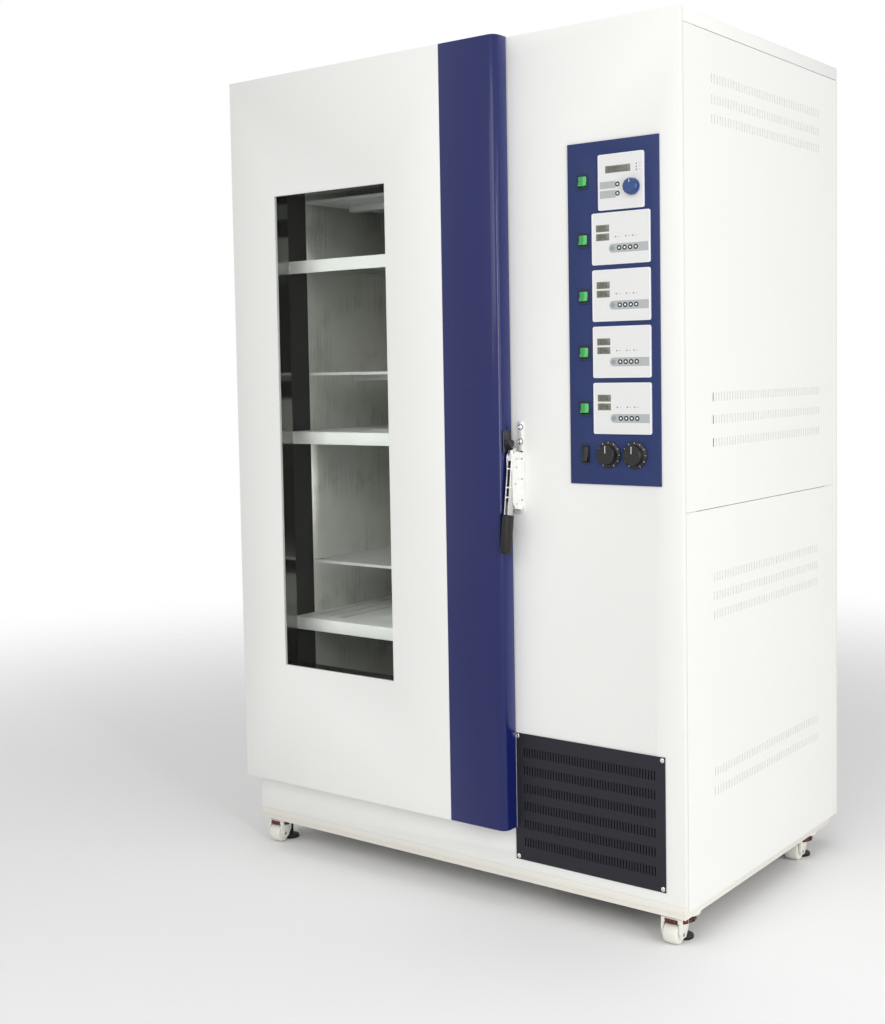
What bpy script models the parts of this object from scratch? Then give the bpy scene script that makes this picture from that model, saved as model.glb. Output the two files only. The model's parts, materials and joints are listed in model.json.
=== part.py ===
"""Refrigerated shaking incubator: a tall insulated cabinet with four orbital shaking tiers.

Metres, +Z up, X to the right, Y towards the back. The origin is on the floor, under the middle of the
whole machine's box. The cabinet's front plane is at FRONT; depths are counted from it.
"""

import math

import bmesh
import bpy
from mathutils import Euler, Matrix, Vector

# Cabinet
CABINET_WIDTH = 1.250
CABINET_DEPTH = 0.840
CABINET_TOP = 1.980
SKIN = 0.0015
GAP = 0.0003
SEAM = 0.0012
FRONT_FLANGE = 0.0135
REAR_RETURN = 0.027
PANEL_LIP = 0.050
CAP_SKIRT = 0.030
PANEL_UNDERSIDE = 0.0785
PANEL_SEAM_Z = 0.934
MACHINE_WIDTH = 0.426
THROUGH = 0.010
WELD = 0.001
ROUND_PROFILE = 0.5

# Base frame
FRAME_UNDERSIDE = 0.064
FRAME_TOP = 0.0922
FRONT_BEAM_UNDERSIDE = 0.076
FRAME_REAR_INSET = 0.048
RAIL_WIDTH = 0.050
CROSS_RAIL_WIDTH = 0.040
GUSSET = 0.100
GUSSET_THICKNESS = 0.005

# Door
DOOR_BOTTOM = 0.191
DOOR_FRONT = 0.0514
DOOR_GAP = 0.006
EDGE_COVER_WIDTH = 0.155
EDGE_RADIUS = 0.018
EDGE_SEGMENTS = 5
COVER_SEAM = 0.001
WINDOW_MARGIN = 0.148
WINDOW_RIGHT_MARGIN = 0.166
WINDOW_RISE = 0.308
WINDOW_DROP = 0.297
PANE_THICKNESS = 0.006
PANE_LAP = 0.012
GASKET_WIDTH = 0.020
GASKET_DEPTH = 0.012
GASKET_MARGIN = 0.008

# Door hinges
LOWER_HINGE = 0.330
MIDDLE_HINGE = 1.090
HINGE_DROP = 0.140
HINGE_AXIS_OUT = 0.0090
KNUCKLE_RADIUS = 0.0078
KNUCKLE_LENGTH = 0.030
PIN_RADIUS = 0.0040
LEAF_THICKNESS = 0.003
LEAF_WIDTH = 0.034

# Chamber
WALL = 0.050
CHAMBER_REAR_GAP = 0.105
LINER_SKIN = 0.0012
RUNNER_WIDTH = 0.018
RUNNER_HEIGHT = 0.012
DUCT_SIDE_GAP = 0.112
DUCT_DEPTH = 0.055
DUCT_RISE = 0.089
DUCT_DROP = 0.080
DUCT_SHEET = 0.002
DUCT_SLOT_WIDTH = 0.050
DUCT_SLOT_HEIGHT = 0.012
DUCT_SLOT_COUNT = 5
DUCT_SLOT_MARGIN = 0.050
DUCT_SLOT_INSET = 0.300

# Tiers, top to bottom: height of each platform's upper face
PLATFORM_HEIGHTS = (1.687, 1.2415, 0.7485, 0.294)
PLATFORM_SIDE_GAP = 0.045
PLATFORM_END_GAP = 0.020
PLATFORM_THICKNESS = 0.007
PLATFORM_COLUMNS = 3
PLATFORM_ROWS = 2
PLATFORM_HOLE = 0.004
PLATFORM_HOLE_INSET = 0.045
SHELF_SETBACK = 0.0886
SHELF_REAR_GAP = 0.0314
SHELF_DROP = 0.1545
BAND_HEIGHT = 0.032
SHELF_FLANGE = 0.014
SHELF_SHEET = 0.002
SHELF_CLEARANCE = 0.001
SHELF_SLOT_INSET = 0.030
SHELF_SLOT_MARGIN = 0.020
SHELF_SLOT_BRIDGE = 0.060
SHELF_SLOT_WIDTH = 0.008
SHELF_SLOT_PITCH = 0.045
SHELF_SLOT_COUNT = 3
DRIVE_WIDTH = 0.260
DRIVE_HEIGHT = 0.085
ORBIT_RADIUS = 0.0125
CRANK_RADIUS = 0.046
CRANK_THICKNESS = 0.011
CRANK_SHAFT_RADIUS = 0.012
CRANK_SHAFT_LENGTH = 0.040
CRANK_PIN_RADIUS = 0.009
CRANK_PIN_LENGTH = 0.028
CRANK_CLEARANCE = 0.001
BOSS_RADIUS = 0.026
FLOOR_HOLE_CLEARANCE = 0.006
CARRIER_BAR_WIDTH = 0.030
CARRIER_BAR_HEIGHT = 0.016
CARRIER_BAR_INSET = 0.051

# Control panel, places on the cabinet's front
CONTROL_OFFSET = 0.1548
CONTROL_RIGHT_MARGIN = 0.0204
CONTROL_TOP = 1.7245
CONTROL_PLATE = 0.003
CONTROL_RIM = 0.015
MODULE_PROUD = 0.004
MODULE_BODY_DEPTH = 0.060
MODULE_BODY_INSET = 0.008
MAIN_MODULE_INSET = 0.0781
MAIN_MODULE_MARGIN = 0.0302
MAIN_MODULE_WIDTH = 0.111
MAIN_MODULE_HEIGHT = 0.118
TIER_MODULE_INSET = 0.0615
MODULE_ROW_GAP = 0.00475
TIER_MODULE_WIDTH = 0.141
TIER_MODULE_HEIGHT = 0.1105
TIER_MODULE_GAP = 0.0102
KNOB_OFFSET = 0.0291
KNOB_DROP = 0.0143
KNOB_RADIUS = 0.0180
KNOB_LENGTH = 0.0150
SPINDLE_RADIUS = 0.0030
SPINDLE_LENGTH = 0.006
SWITCH_OFFSET = 0.0397
MAIN_SWITCH_RISE = 0.0064
SWITCH_WIDTH = 0.0200
SWITCH_HEIGHT = 0.0210
BEZEL_WIDTH = 0.0260
BEZEL_HEIGHT = 0.0320
BEZEL_PROUD = 0.0030
SWITCH_BOX_DEPTH = 0.012
SWITCH_TILT = 9.0
SWITCH_REACH = 0.0060
SWITCH_AXIS_SINK = 0.0015
LAMP_SWITCH_WIDTH = 0.0130
LAMP_SWITCH_HEIGHT = 0.0330
LAMP_BEZEL_WIDTH = 0.0180
LAMP_BEZEL_HEIGHT = 0.0430
LOWER_ROW_GAP = 0.01495
LOWER_ROW_MARGIN = 0.0355
DIAL_OFFSET = 0.0972
DIAL_GAP = 0.0050
DIAL_RADIUS = 0.0215
DIAL_SKIRT_RADIUS = 0.0295
DIAL_SKIRT_THICKNESS = 0.004
DIAL_LENGTH = 0.0180

# Front grille and machine compartment
GRILLE_LAP = 0.0053
GRILLE_RIGHT_MARGIN = 0.0458
GRILLE_BOTTOM = 0.116
GRILLE_HEIGHT = 0.2945
GRILLE_THICKNESS = 0.002
GRILLE_RIM = 0.022
GRILLE_ROWS = 6
GRILLE_COLUMNS = 11
GRILLE_SLOT_WIDTH = 0.006
GRILLE_SLOT_HEIGHT = 0.022
GRILLE_SCREW_RADIUS = 0.005
GRILLE_SCREW_INSET = 0.007
CONDENSER_SIDE_GAP = 0.02775
CONDENSER_HEIGHT = 0.260
CONDENSER_DEPTH = 0.036
CONDENSER_SETBACK = 0.050
CONDENSER_FIN_COUNT = 8
TRAY_THICKNESS = 0.003
TRAY_REAR_GAP = 0.080
TRAY_LIP = 0.010
COMPRESSOR_RADIUS = 0.085
COMPRESSOR_HEIGHT = 0.210
COMPRESSOR_INSET = 0.020
COMPRESSOR_SHOULDER = 0.065
COMPRESSOR_BASE = 0.040
COMPRESSOR_FOOT = 0.010
CONDENSER_FAN_RADIUS = 0.105
CIRCULATION_FAN_RADIUS = 0.090
FAN_HUB_RADIUS = 0.022
FAN_HUB_LENGTH = 0.020
FAN_BLADES = 5
FAN_BLADE_THICKNESS = 0.0025
FAN_BLADE_WIDTH = 0.036
FAN_BLADE_PITCH = 28.0
FAN_MOUNT_GAP = 0.006
FAN_TIP_GAP = 0.004
FAN_SHAFT_RADIUS = 0.005
FAN_CLEARANCE = 0.012
MOTOR_RADIUS = 0.035
MOTOR_LENGTH = 0.060
MOTOR_POST_WIDTH = 0.040
MOTOR_POST_INSET = 0.010

# Side louvres on the right panels: height of each group's middle and its count of rows
LOWER_LOUVRE_GROUPS = ((1.125, 3), (0.745, 3), (0.324, 2))
LOUVRE_DROP = 0.171
TOP_LOUVRE_ROWS = 3
LOUVRE_COLUMNS = 5
LOUVRE_ROW_PITCH = 0.042
LOUVRE_SLOT_HEIGHT = 0.020
LOUVRE_SLOT_WIDTH = 0.006
LOUVRE_START = 0.135
LOUVRE_END = 0.113

# Latch at the door's opening edge
LATCH_REACH = 0.070
LATCH_OFFSET = 0.0048
LATCH_WIDTH = 0.0255
LATCH_LENGTH = 0.143
LATCH_TOP = 1.058
LATCH_PLATE = 0.003
LATCH_CHEEK = 0.002
LATCH_CHANNEL_WIDTH = 0.0165
LATCH_CHEEK_REACH = 0.034
LEVER_PIVOT_DROP = 0.0100
LEVER_PIVOT_OUT = 0.0240
LEVER_WIDTH = 0.0118
LEVER_DEPTH = 0.0170
LEVER_LENGTH = 0.215
LEVER_TILT = 8.0
LEVER_SHEET = 0.0020
LEVER_TOP_REACH = 0.0175
TROUGH_LAP = 0.010
TROUGH_DROP = 0.012
GRIP_LENGTH = 0.088
GRIP_WIDTH = 0.0170
GRIP_DEPTH = 0.0270
GRIP_GAP = 0.0003
LEVER_PIN_RADIUS = 0.003
KEEPER_RISE = 0.066
KEEPER_WIDTH = 0.015
UPPER_BOLT_RISE = 0.0535
LOWER_BOLT_RISE = 0.0210
KEEPER_BOLT_RADIUS = 0.0065
KEEPER_BOLT_LENGTH = 0.006
ROLLER_RADIUS = 0.009
ROLLER_RISE = 0.0175
ROLLER_OUT = 0.0270
ROLLER_WIDTH = 0.0125
STRIKE_PLATE = 0.003
STRIKE_HEIGHT = 0.048
STRIKE_DEPTH = 0.030

# Levelling casters
CASTER_INSET = 0.040
CASTER_FRONT = 0.066
CASTER_REAR_INSET = 0.137
CASTER_CAP_RADIUS = 0.0375
CASTER_CAP_HEIGHT = 0.006
CASTER_TRAIL = 0.046
WHEEL_RADIUS = 0.0225
WHEEL_WIDTH = 0.034
WHEEL_CLEARANCE = 0.002
WHEEL_CHAMFER_WIDTH = 0.005
WHEEL_CHAMFER_DEPTH = 0.003
AXLE_RADIUS = 0.004
FORK_CHEEK = 0.006
FORK_ROOF = 0.0025
FOOT_PAD_RADIUS = 0.0220
FOOT_PAD_HEIGHT = 0.010
FOOT_STEM_RADIUS = 0.007
FOOT_TRAVEL = 0.008
STEM_SOCKET_DEPTH = 0.010
STEM_SOCKET_CLEARANCE = 0.001
DIAL_RING_RADIUS = 0.0275
DIAL_RING_HEIGHT = 0.008
DIAL_RING_CLEARANCE = 0.0015

# Worked out from the sizes above
LEFT = -CABINET_WIDTH / 2
RIGHT = CABINET_WIDTH / 2
FRONT = -(CABINET_DEPTH - LATCH_REACH) / 2
REAR = FRONT + CABINET_DEPTH
DOOR_WIDTH = CABINET_WIDTH - MACHINE_WIDTH
DOOR_RIGHT = LEFT + DOOR_WIDTH
COVER_LEFT = DOOR_RIGHT - EDGE_COVER_WIDTH
WINDOW_WIDTH = DOOR_WIDTH - EDGE_COVER_WIDTH - WINDOW_MARGIN - WINDOW_RIGHT_MARGIN
WINDOW_BOTTOM = DOOR_BOTTOM + WINDOW_RISE
WINDOW_TOP = CABINET_TOP - WINDOW_DROP
HINGE_HEIGHTS = (LOWER_HINGE, MIDDLE_HINGE, CABINET_TOP - HINGE_DROP)
CHAMBER_LEFT = LEFT + WALL
CHAMBER_RIGHT = DOOR_RIGHT - WALL
CHAMBER_FLOOR = DOOR_BOTTOM + WALL
CHAMBER_CEILING = CABINET_TOP - WALL
CHAMBER_X = (CHAMBER_LEFT + CHAMBER_RIGHT) / 2
CHAMBER_DEPTH = CABINET_DEPTH - CHAMBER_REAR_GAP
CHAMBER_REAR = FRONT + CHAMBER_DEPTH
DUCT_WIDTH = CHAMBER_RIGHT - CHAMBER_LEFT - 2 * DUCT_SIDE_GAP
DUCT_BOTTOM = CHAMBER_FLOOR + DUCT_RISE
DUCT_TOP = CHAMBER_CEILING - DUCT_DROP
SHELF_DEPTH = CHAMBER_DEPTH - SHELF_SETBACK - DUCT_DEPTH - SHELF_REAR_GAP
SHELF_SLOT_LENGTH = SHELF_DEPTH / 2 - SHELF_SLOT_MARGIN - SHELF_SLOT_BRIDGE
PLATFORM_WIDTH = CHAMBER_RIGHT - CHAMBER_LEFT - 2 * PLATFORM_SIDE_GAP
PLATFORM_DEPTH = SHELF_DEPTH - 2 * PLATFORM_END_GAP
PLATFORM_Y = FRONT + SHELF_SETBACK + SHELF_DEPTH / 2
HINGE_X = LEFT - HINGE_AXIS_OUT
HINGE_Y = FRONT - DOOR_GAP - SKIN
PANEL_LEFT_INNER = LEFT + 2 * SKIN + 2 * GAP
SIDE_PANEL_FRONT = FRONT + FRONT_FLANGE + SEAM
SIDE_PANEL_REAR = REAR - REAR_RETURN - SEAM
SIDE_PANEL_TOP = CABINET_TOP - CAP_SKIRT - SEAM
CONTROL_LEFT = DOOR_RIGHT + CONTROL_OFFSET
CONTROL_WIDTH = TIER_MODULE_INSET + TIER_MODULE_WIDTH + CONTROL_RIGHT_MARGIN
MAIN_MODULE_X = CONTROL_LEFT + MAIN_MODULE_INSET + MAIN_MODULE_WIDTH / 2
MAIN_MODULE_Z = CONTROL_TOP - MAIN_MODULE_MARGIN - MAIN_MODULE_HEIGHT / 2
TIER_MODULE_X = CONTROL_LEFT + TIER_MODULE_INSET + TIER_MODULE_WIDTH / 2
TIER_MODULE_Z = MAIN_MODULE_Z - MAIN_MODULE_HEIGHT / 2 - MODULE_ROW_GAP - TIER_MODULE_HEIGHT / 2
TIER_MODULE_PITCH = TIER_MODULE_HEIGHT + TIER_MODULE_GAP
KNOB_X = MAIN_MODULE_X + KNOB_OFFSET
KNOB_Z = MAIN_MODULE_Z - KNOB_DROP
SWITCH_X = CONTROL_LEFT + SWITCH_OFFSET
MAIN_SWITCH_Z = MAIN_MODULE_Z + MAIN_SWITCH_RISE
MODULES_BOTTOM = TIER_MODULE_Z - 3 * TIER_MODULE_PITCH - TIER_MODULE_HEIGHT / 2
LOWER_ROW_Z = MODULES_BOTTOM - LOWER_ROW_GAP - DIAL_SKIRT_RADIUS
CONTROL_BOTTOM = LOWER_ROW_Z - DIAL_SKIRT_RADIUS - LOWER_ROW_MARGIN
CONTROL_HEIGHT = CONTROL_TOP - CONTROL_BOTTOM
DIAL_PITCH = 2 * DIAL_SKIRT_RADIUS + DIAL_GAP
DIAL_XS = (CONTROL_LEFT + DIAL_OFFSET, CONTROL_LEFT + DIAL_OFFSET + DIAL_PITCH)
GRILLE_LEFT = DOOR_RIGHT - GRILLE_LAP
GRILLE_WIDTH = MACHINE_WIDTH + GRILLE_LAP - GRILLE_RIGHT_MARGIN
CONDENSER_WIDTH = GRILLE_WIDTH - 2 * CONDENSER_SIDE_GAP
TRAY_DEPTH = CABINET_DEPTH - CONDENSER_SETBACK - TRAY_REAR_GAP
LOUVRE_LENGTH = CABINET_DEPTH - LOUVRE_START - LOUVRE_END
LOUVRE_GROUPS = ((CABINET_TOP - LOUVRE_DROP, TOP_LOUVRE_ROWS), *LOWER_LOUVRE_GROUPS)
LATCH_LEFT = DOOR_RIGHT + LATCH_OFFSET
LATCH_BOTTOM = LATCH_TOP - LATCH_LENGTH
LEVER_PIVOT_Z = LATCH_TOP - LEVER_PIVOT_DROP
KEEPER_TOP = LATCH_TOP + KEEPER_RISE
KEEPER_BOLT_HEIGHTS = (LATCH_TOP + UPPER_BOLT_RISE, LATCH_TOP + LOWER_BOLT_RISE)
ROLLER_Z = LATCH_TOP + ROLLER_RISE
CASTER_X = RIGHT - CASTER_INSET
CASTER_REAR = CABINET_DEPTH - CASTER_REAR_INSET
COUNTERS = {"hidden": 0}

# The turn that lays an upright shape along each axis
TURNS = {
    "X": (0.0, math.pi / 2, 0.0),
    "Y": (math.pi / 2, 0.0, 0.0),
    "Z": (0.0, 0.0, 0.0),
}

PAINTS = {
    "white_paint": ((0.85, 0.85, 0.84), 0.45, 0.0),
    "blue_paint": ((0.035, 0.050, 0.200), 0.30, 0.2),
    "panel_blue": ((0.050, 0.070, 0.190), 0.40, 0.1),
    "dark_paint": ((0.020, 0.021, 0.035), 0.50, 0.1),
    "frame_paint": ((0.76, 0.73, 0.66), 0.55, 0.0),
    "stainless": ((0.60, 0.60, 0.58), 0.25, 1.0),
    "platform_alloy": ((0.62, 0.63, 0.64), 0.40, 1.0),
    "foam": ((0.80, 0.74, 0.50), 0.90, 0.0),
    "glass": ((0.75, 0.80, 0.80), 0.05, 0.0),
    "black_rubber": ((0.020, 0.020, 0.020), 0.80, 0.0),
    "black_plastic": ((0.015, 0.015, 0.015), 0.40, 0.0),
    "module_plastic": ((0.80, 0.81, 0.82), 0.40, 0.0),
    "green_plastic": ((0.005, 0.400, 0.090), 0.30, 0.0),
    "knob_blue": ((0.030, 0.100, 0.400), 0.30, 0.0),
    "ivory_plastic": ((0.85, 0.82, 0.72), 0.45, 0.0),
    "chrome": ((0.80, 0.80, 0.80), 0.12, 1.0),
    "machine_black": ((0.030, 0.030, 0.032), 0.50, 0.3),
    "steel": ((0.45, 0.45, 0.46), 0.35, 1.0),
}


def clear_scene():
    for obj in list(bpy.data.objects):
        bpy.data.objects.remove(obj, do_unlink=True)


def collection(name):
    made = bpy.data.collections.get(name)
    if made is None:
        made = bpy.data.collections.new(name)
        bpy.context.scene.collection.children.link(made)
    return made


def material(name):
    made = bpy.data.materials.get(name)
    if made is None:
        colour, roughness, metallic = PAINTS[name]
        made = bpy.data.materials.new(name)
        made.use_nodes = True
        shader = made.node_tree.nodes["Principled BSDF"]
        shader.inputs["Base Color"].default_value = (*colour, 1.0)
        shader.inputs["Roughness"].default_value = roughness
        shader.inputs["Metallic"].default_value = metallic
        made.diffuse_color = (*colour, 1.0)
    return made


def add(name, shape, origin=(0.0, 0.0, 0.0), paint=None):
    """Links a bmesh, whose points count from origin, as an object of the incubator."""
    mesh = bpy.data.meshes.new(name)
    shape.to_mesh(mesh)
    shape.free()
    obj = bpy.data.objects.new(name, mesh)
    obj.location = origin
    if paint:
        mesh.materials.append(material(paint))
    collection("refrigerated_shaking_incubator").objects.link(obj)
    return obj


def box(name, low, high, paint=None, origin=None, bevel=0.0, segments=1):
    """A block between two corners. Its origin is its middle, or the point given."""
    low, high = Vector(low), Vector(high)
    middle = (low + high) / 2
    origin = middle if origin is None else Vector(origin)
    shape = bmesh.new()
    place = Matrix.Translation(middle - origin) @ Matrix.Diagonal((*(high - low), 1.0))
    bmesh.ops.create_cube(shape, size=1.0, matrix=place)
    if bevel:
        bmesh.ops.bevel(
            shape, geom=shape.edges[:], offset=bevel, segments=segments, profile=ROUND_PROFILE, affect="EDGES"
        )
    return add(name, shape, origin, paint)


def rod(name, centre, radius, length, axis="Z", sides=20, paint=None, origin=None):
    """A cylinder along X, Y or Z, shaded smooth round its side."""
    centre = Vector(centre)
    origin = centre if origin is None else Vector(origin)
    shape = bmesh.new()
    bmesh.ops.create_cone(
        shape,
        cap_ends=True,
        segments=sides,
        radius1=radius,
        radius2=radius,
        depth=length,
        matrix=Matrix.Translation(centre - origin) @ Euler(TURNS[axis]).to_matrix().to_4x4(),
    )
    obj = add(name, shape, origin, paint)
    smooth(obj)
    return obj


def smooth(obj):
    obj.data.shade_smooth()
    obj.data.set_sharp_from_angle(angle=math.radians(35))


def blocks(name, centres, size):
    """Many equal separate blocks in one mesh, for cutting a pattern."""
    shape = bmesh.new()
    for centre in centres:
        place = Matrix.Translation(centre) @ Matrix.Diagonal((*size, 1.0))
        bmesh.ops.create_cube(shape, size=1.0, matrix=place)
    return add(name, shape)


def bores(name, centres, radius, length, sides=6):
    """Many equal upright rods in one mesh, for cutting a pattern of holes."""
    shape = bmesh.new()
    for centre in centres:
        bmesh.ops.create_cone(
            shape,
            cap_ends=True,
            segments=sides,
            radius1=radius,
            radius2=radius,
            depth=length,
            matrix=Matrix.Translation(centre),
        )
    return add(name, shape)


def turned(name, profile, origin, axis="Z", sides=20, paint=None):
    """A profile of (radius, height) points, down its outer side, turned about an axis through origin."""
    shape = bmesh.new()
    points = [shape.verts.new((radius, 0.0, height)) for radius, height in profile]
    for first, second in zip(points, points[1:]):
        shape.edges.new((first, second))
    obj = add(name, shape, origin, paint)
    obj.rotation_euler = TURNS[axis]
    screw = obj.modifiers.new("turn", "SCREW")
    screw.axis = "Z"
    screw.steps = screw.render_steps = sides
    screw.use_merge_vertices = True
    screw.merge_threshold = 1e-5
    return obj


def outline(name, points, low, high, axis, paint=None, origin=(0.0, 0.0, 0.0)):
    """A flat outline of (first, second) points pushed along an axis from low to high."""
    place = {
        "X": lambda first, second, along: (along, first, second),
        "Y": lambda first, second, along: (first, along, second),
        "Z": lambda first, second, along: (first, second, along),
    }[axis]
    origin = Vector(origin)
    shape = bmesh.new()
    rim = [shape.verts.new(Vector(place(first, second, low)) - origin) for first, second in points]
    face = shape.faces.new(rim)
    pushed = bmesh.ops.extrude_face_region(shape, geom=[face])
    moved = [item for item in pushed["geom"] if isinstance(item, bmesh.types.BMVert)]
    bmesh.ops.translate(shape, vec=Vector(place(0.0, 0.0, high - low)), verts=moved)
    bmesh.ops.recalc_face_normals(shape, faces=shape.faces[:])
    return add(name, shape, origin, paint)


def hide(tool):
    """Keeps a cutter or a joined shape out of the finished object."""
    COUNTERS["hidden"] += 1
    tool.name = f"{tool.name}_tool_{COUNTERS['hidden']}"
    tool.hide_render = True
    tool.display_type = "WIRE"
    collection("refrigerated_shaking_incubator").objects.unlink(tool)
    collection("cutters").objects.link(tool)


def combine(target, tools, operation):
    for tool in tools:
        step = target.modifiers.new(f"{operation.lower()}_{tool.name}", "BOOLEAN")
        step.operation = operation
        step.object = tool
        step.solver = "EXACT"
        hide(tool)
    return target


def cut(target, *tools):
    return combine(target, tools, "DIFFERENCE")


def join(target, *tools):
    return combine(target, tools, "UNION")


def pivot(name, location, parent=None):
    """An empty on a joint's axis, which the moving pieces hang from."""
    empty = bpy.data.objects.new(name, None)
    empty.empty_display_size = 0.03
    collection("refrigerated_shaking_incubator").objects.link(empty)
    empty.location = Vector(location)
    if parent:
        empty.location = Vector(location) - world_place(parent)
        empty.parent = parent
    return empty


def world_place(obj):
    place = Vector(obj.location)
    while obj.parent:
        obj = obj.parent
        place += Vector(obj.location)
    return place


def hang(obj, parent):
    obj.location = Vector(obj.location) - world_place(parent)
    obj.parent = parent
    return obj


def spread(low, high, count):
    """The middles of count equal parts between low and high."""
    return [low + (index + 0.5) * (high - low) / count for index in range(count)]


def folded_sheet(name, path, bottom, top, paint):
    """An upright sheet along a path of (x, y) corners, its thickness to the path's left."""
    shape = bmesh.new()
    lower = [shape.verts.new((x, y, bottom)) for x, y in path]
    upper = [shape.verts.new((x, y, top)) for x, y in path]
    for index in range(len(path) - 1):
        shape.faces.new((lower[index], lower[index + 1], upper[index + 1], upper[index]))
    obj = add(name, shape, paint=paint)
    wall = obj.modifiers.new("sheet", "SOLIDIFY")
    wall.thickness = SKIN
    wall.offset = -1.0
    wall.use_even_offset = True
    return obj


def open_pan(name, low, high, sheet, open_sides, paint, radius=0.0):
    """A sheet metal box, open on the sides named, such as '+Y'. A radius rounds its front right edge."""
    low, high = Vector(low), Vector(high)
    pan = box(name, low, high, paint)
    inner_low, inner_high = low + Vector((sheet,) * 3), high - Vector((sheet,) * 3)
    for side in open_sides:
        index = "XYZ".index(side[1])
        if side[0] == "+":
            inner_high[index] = high[index] + THROUGH
        else:
            inner_low[index] = low[index] - THROUGH
    hollow = box(f"{name}_hollow", inner_low, inner_high)
    if radius:
        round_front_right(pan, radius)
        round_front_right(hollow, radius - sheet)
    return cut(pan, hollow)


def round_front_right(block, radius):
    """Rounds the upright edge at a block's front right."""
    shape = bmesh.new()
    shape.from_mesh(block.data)
    right = max(point.co.x for point in shape.verts)
    front = min(point.co.y for point in shape.verts)
    corner = [
        edge
        for edge in shape.edges
        if all(right - v.co.x < GAP and v.co.y - front < GAP for v in edge.verts)
    ]
    bmesh.ops.bevel(
        shape, geom=corner, offset=radius, segments=EDGE_SEGMENTS, profile=ROUND_PROFILE, affect="EDGES"
    )
    shape.to_mesh(block.data)
    shape.free()


def base_frame():
    """A welded rail frame under the cabinet, with the lowest tier's drive housing on its cross rails."""
    side = RIGHT - SKIN - GAP
    rear = REAR - FRAME_REAR_INSET
    frame = box("base_frame", (-side, FRONT + SKIN, FRAME_UNDERSIDE), (side, rear, FRAME_TOP), "frame_paint")
    drive_rails = (CHAMBER_X - DRIVE_WIDTH / 3, CHAMBER_X + DRIVE_WIDTH / 3)
    edges = [-side, -side + RAIL_WIDTH]
    for x in (*drive_rails, DOOR_RIGHT):
        edges += [x - CROSS_RAIL_WIDTH / 2, x + CROSS_RAIL_WIDTH / 2]
    edges += [side - RAIL_WIDTH, side]
    for start, end in zip(edges[1:-1:2], edges[2:-1:2]):
        low = (start, FRONT + RAIL_WIDTH, FRAME_UNDERSIDE - THROUGH)
        cut(frame, box("frame_gap", low, (end, rear - RAIL_WIDTH, FRAME_TOP + THROUGH)))
    beam_low = (LEFT, FRONT, FRONT_BEAM_UNDERSIDE)
    join(frame, box("front_beam", beam_low, (RIGHT, FRONT + FRONT_FLANGE - GAP, FRAME_TOP)))
    for x in (-side, side - GUSSET):
        for caster_y in (CASTER_FRONT, CASTER_REAR):
            y = FRONT + caster_y - GUSSET / 2
            low = (x, y, FRAME_UNDERSIDE)
            join(frame, box("gusset", low, (x + GUSSET, y + GUSSET, FRAME_UNDERSIDE + GUSSET_THICKNESS)))
    half = DRIVE_WIDTH / 2
    housing_low = (CHAMBER_X - half, PLATFORM_Y - half, FRAME_TOP - 0.004)
    join(frame, box("floor_drive", housing_low, (CHAMBER_X + half, PLATFORM_Y + half, drive_top(3))))
    bearing = rod("floor_bearing", (CHAMBER_X, PLATFORM_Y, drive_top(3)), CRANK_SHAFT_RADIUS + GAP,
                  2 * (CRANK_SHAFT_LENGTH + GAP), sides=16)
    cut(frame, bearing)
    for x, y in caster_places():
        cut(frame, rod("stem_socket", (x, y, FRAME_UNDERSIDE), FOOT_STEM_RADIUS + STEM_SOCKET_CLEARANCE,
                       2 * STEM_SOCKET_DEPTH, sides=12))
    return frame


def shelf_top(tier):
    return PLATFORM_HEIGHTS[tier] - SHELF_DROP


def drive_top(tier):
    return shelf_top(tier) + DRIVE_HEIGHT


def side_casing():
    """The left side and the back in one folded sheet, with a return at the right and the fixed leaves."""
    path = [(RIGHT, REAR - REAR_RETURN), (RIGHT, REAR), (LEFT, REAR), (LEFT, SIDE_PANEL_FRONT)]
    casing = folded_sheet("side_casing", path, PANEL_UNDERSIDE, SIDE_PANEL_TOP, "white_paint")
    root, outer, inner = (RIGHT - inset for inset in (SKIN / 2, SKIN + GAP, 2 * SKIN + GAP))
    start, step, end = REAR - SKIN / 2, REAR - REAR_RETURN + GAP, SIDE_PANEL_REAR - PANEL_LIP
    points = [(root, start), (root, step), (outer, step), (outer, end), (inner, end), (inner, start)]
    join(casing, outline("rear_lip", points, PANEL_UNDERSIDE + CAP_SKIRT, SIDE_PANEL_TOP - SKIN, "Z"))
    for height in HINGE_HEIGHTS:
        join(casing, *fixed_leaf(height))
    return casing


def fixed_leaf(height):
    """A fixed hinge leaf: a joggled plate, two knuckles and the pin through them."""
    half = 1.5 * KNUCKLE_LENGTH
    outer = LEFT - LEAF_THICKNESS
    step = SIDE_PANEL_FRONT + SEAM
    yield box("leaf", (outer, step, height - half), (LEFT + SKIN / 2, step + LEAF_WIDTH, height + half))
    joggle = HINGE_Y + KNUCKLE_RADIUS + GAP
    yield box("leaf_joggle", (outer, joggle, height - half), (LEFT - GAP, step + SEAM, height + half))
    yield rod("pin", (HINGE_X, HINGE_Y, height), PIN_RADIUS, 2 * half, sides=10)
    for side in (-1, 1):
        middle = height + side * KNUCKLE_LENGTH
        yield rod("knuckle", (HINGE_X, HINGE_Y, middle), KNUCKLE_RADIUS, KNUCKLE_LENGTH - GAP, sides=12)
        low = (HINGE_X, HINGE_Y + SKIN / 2, middle - (KNUCKLE_LENGTH - GAP) / 2)
        high = (LEFT - GAP, joggle + SEAM, middle + (KNUCKLE_LENGTH - GAP) / 2)
        yield box("knuckle_root", low, high)


def top_panel():
    low = (LEFT, FRONT + FRONT_FLANGE + SEAM, CABINET_TOP - CAP_SKIRT)
    return open_pan("top_panel", low, (RIGHT, REAR, CABINET_TOP), SKIN, ("-Z", "-Y"), "white_paint")


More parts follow.
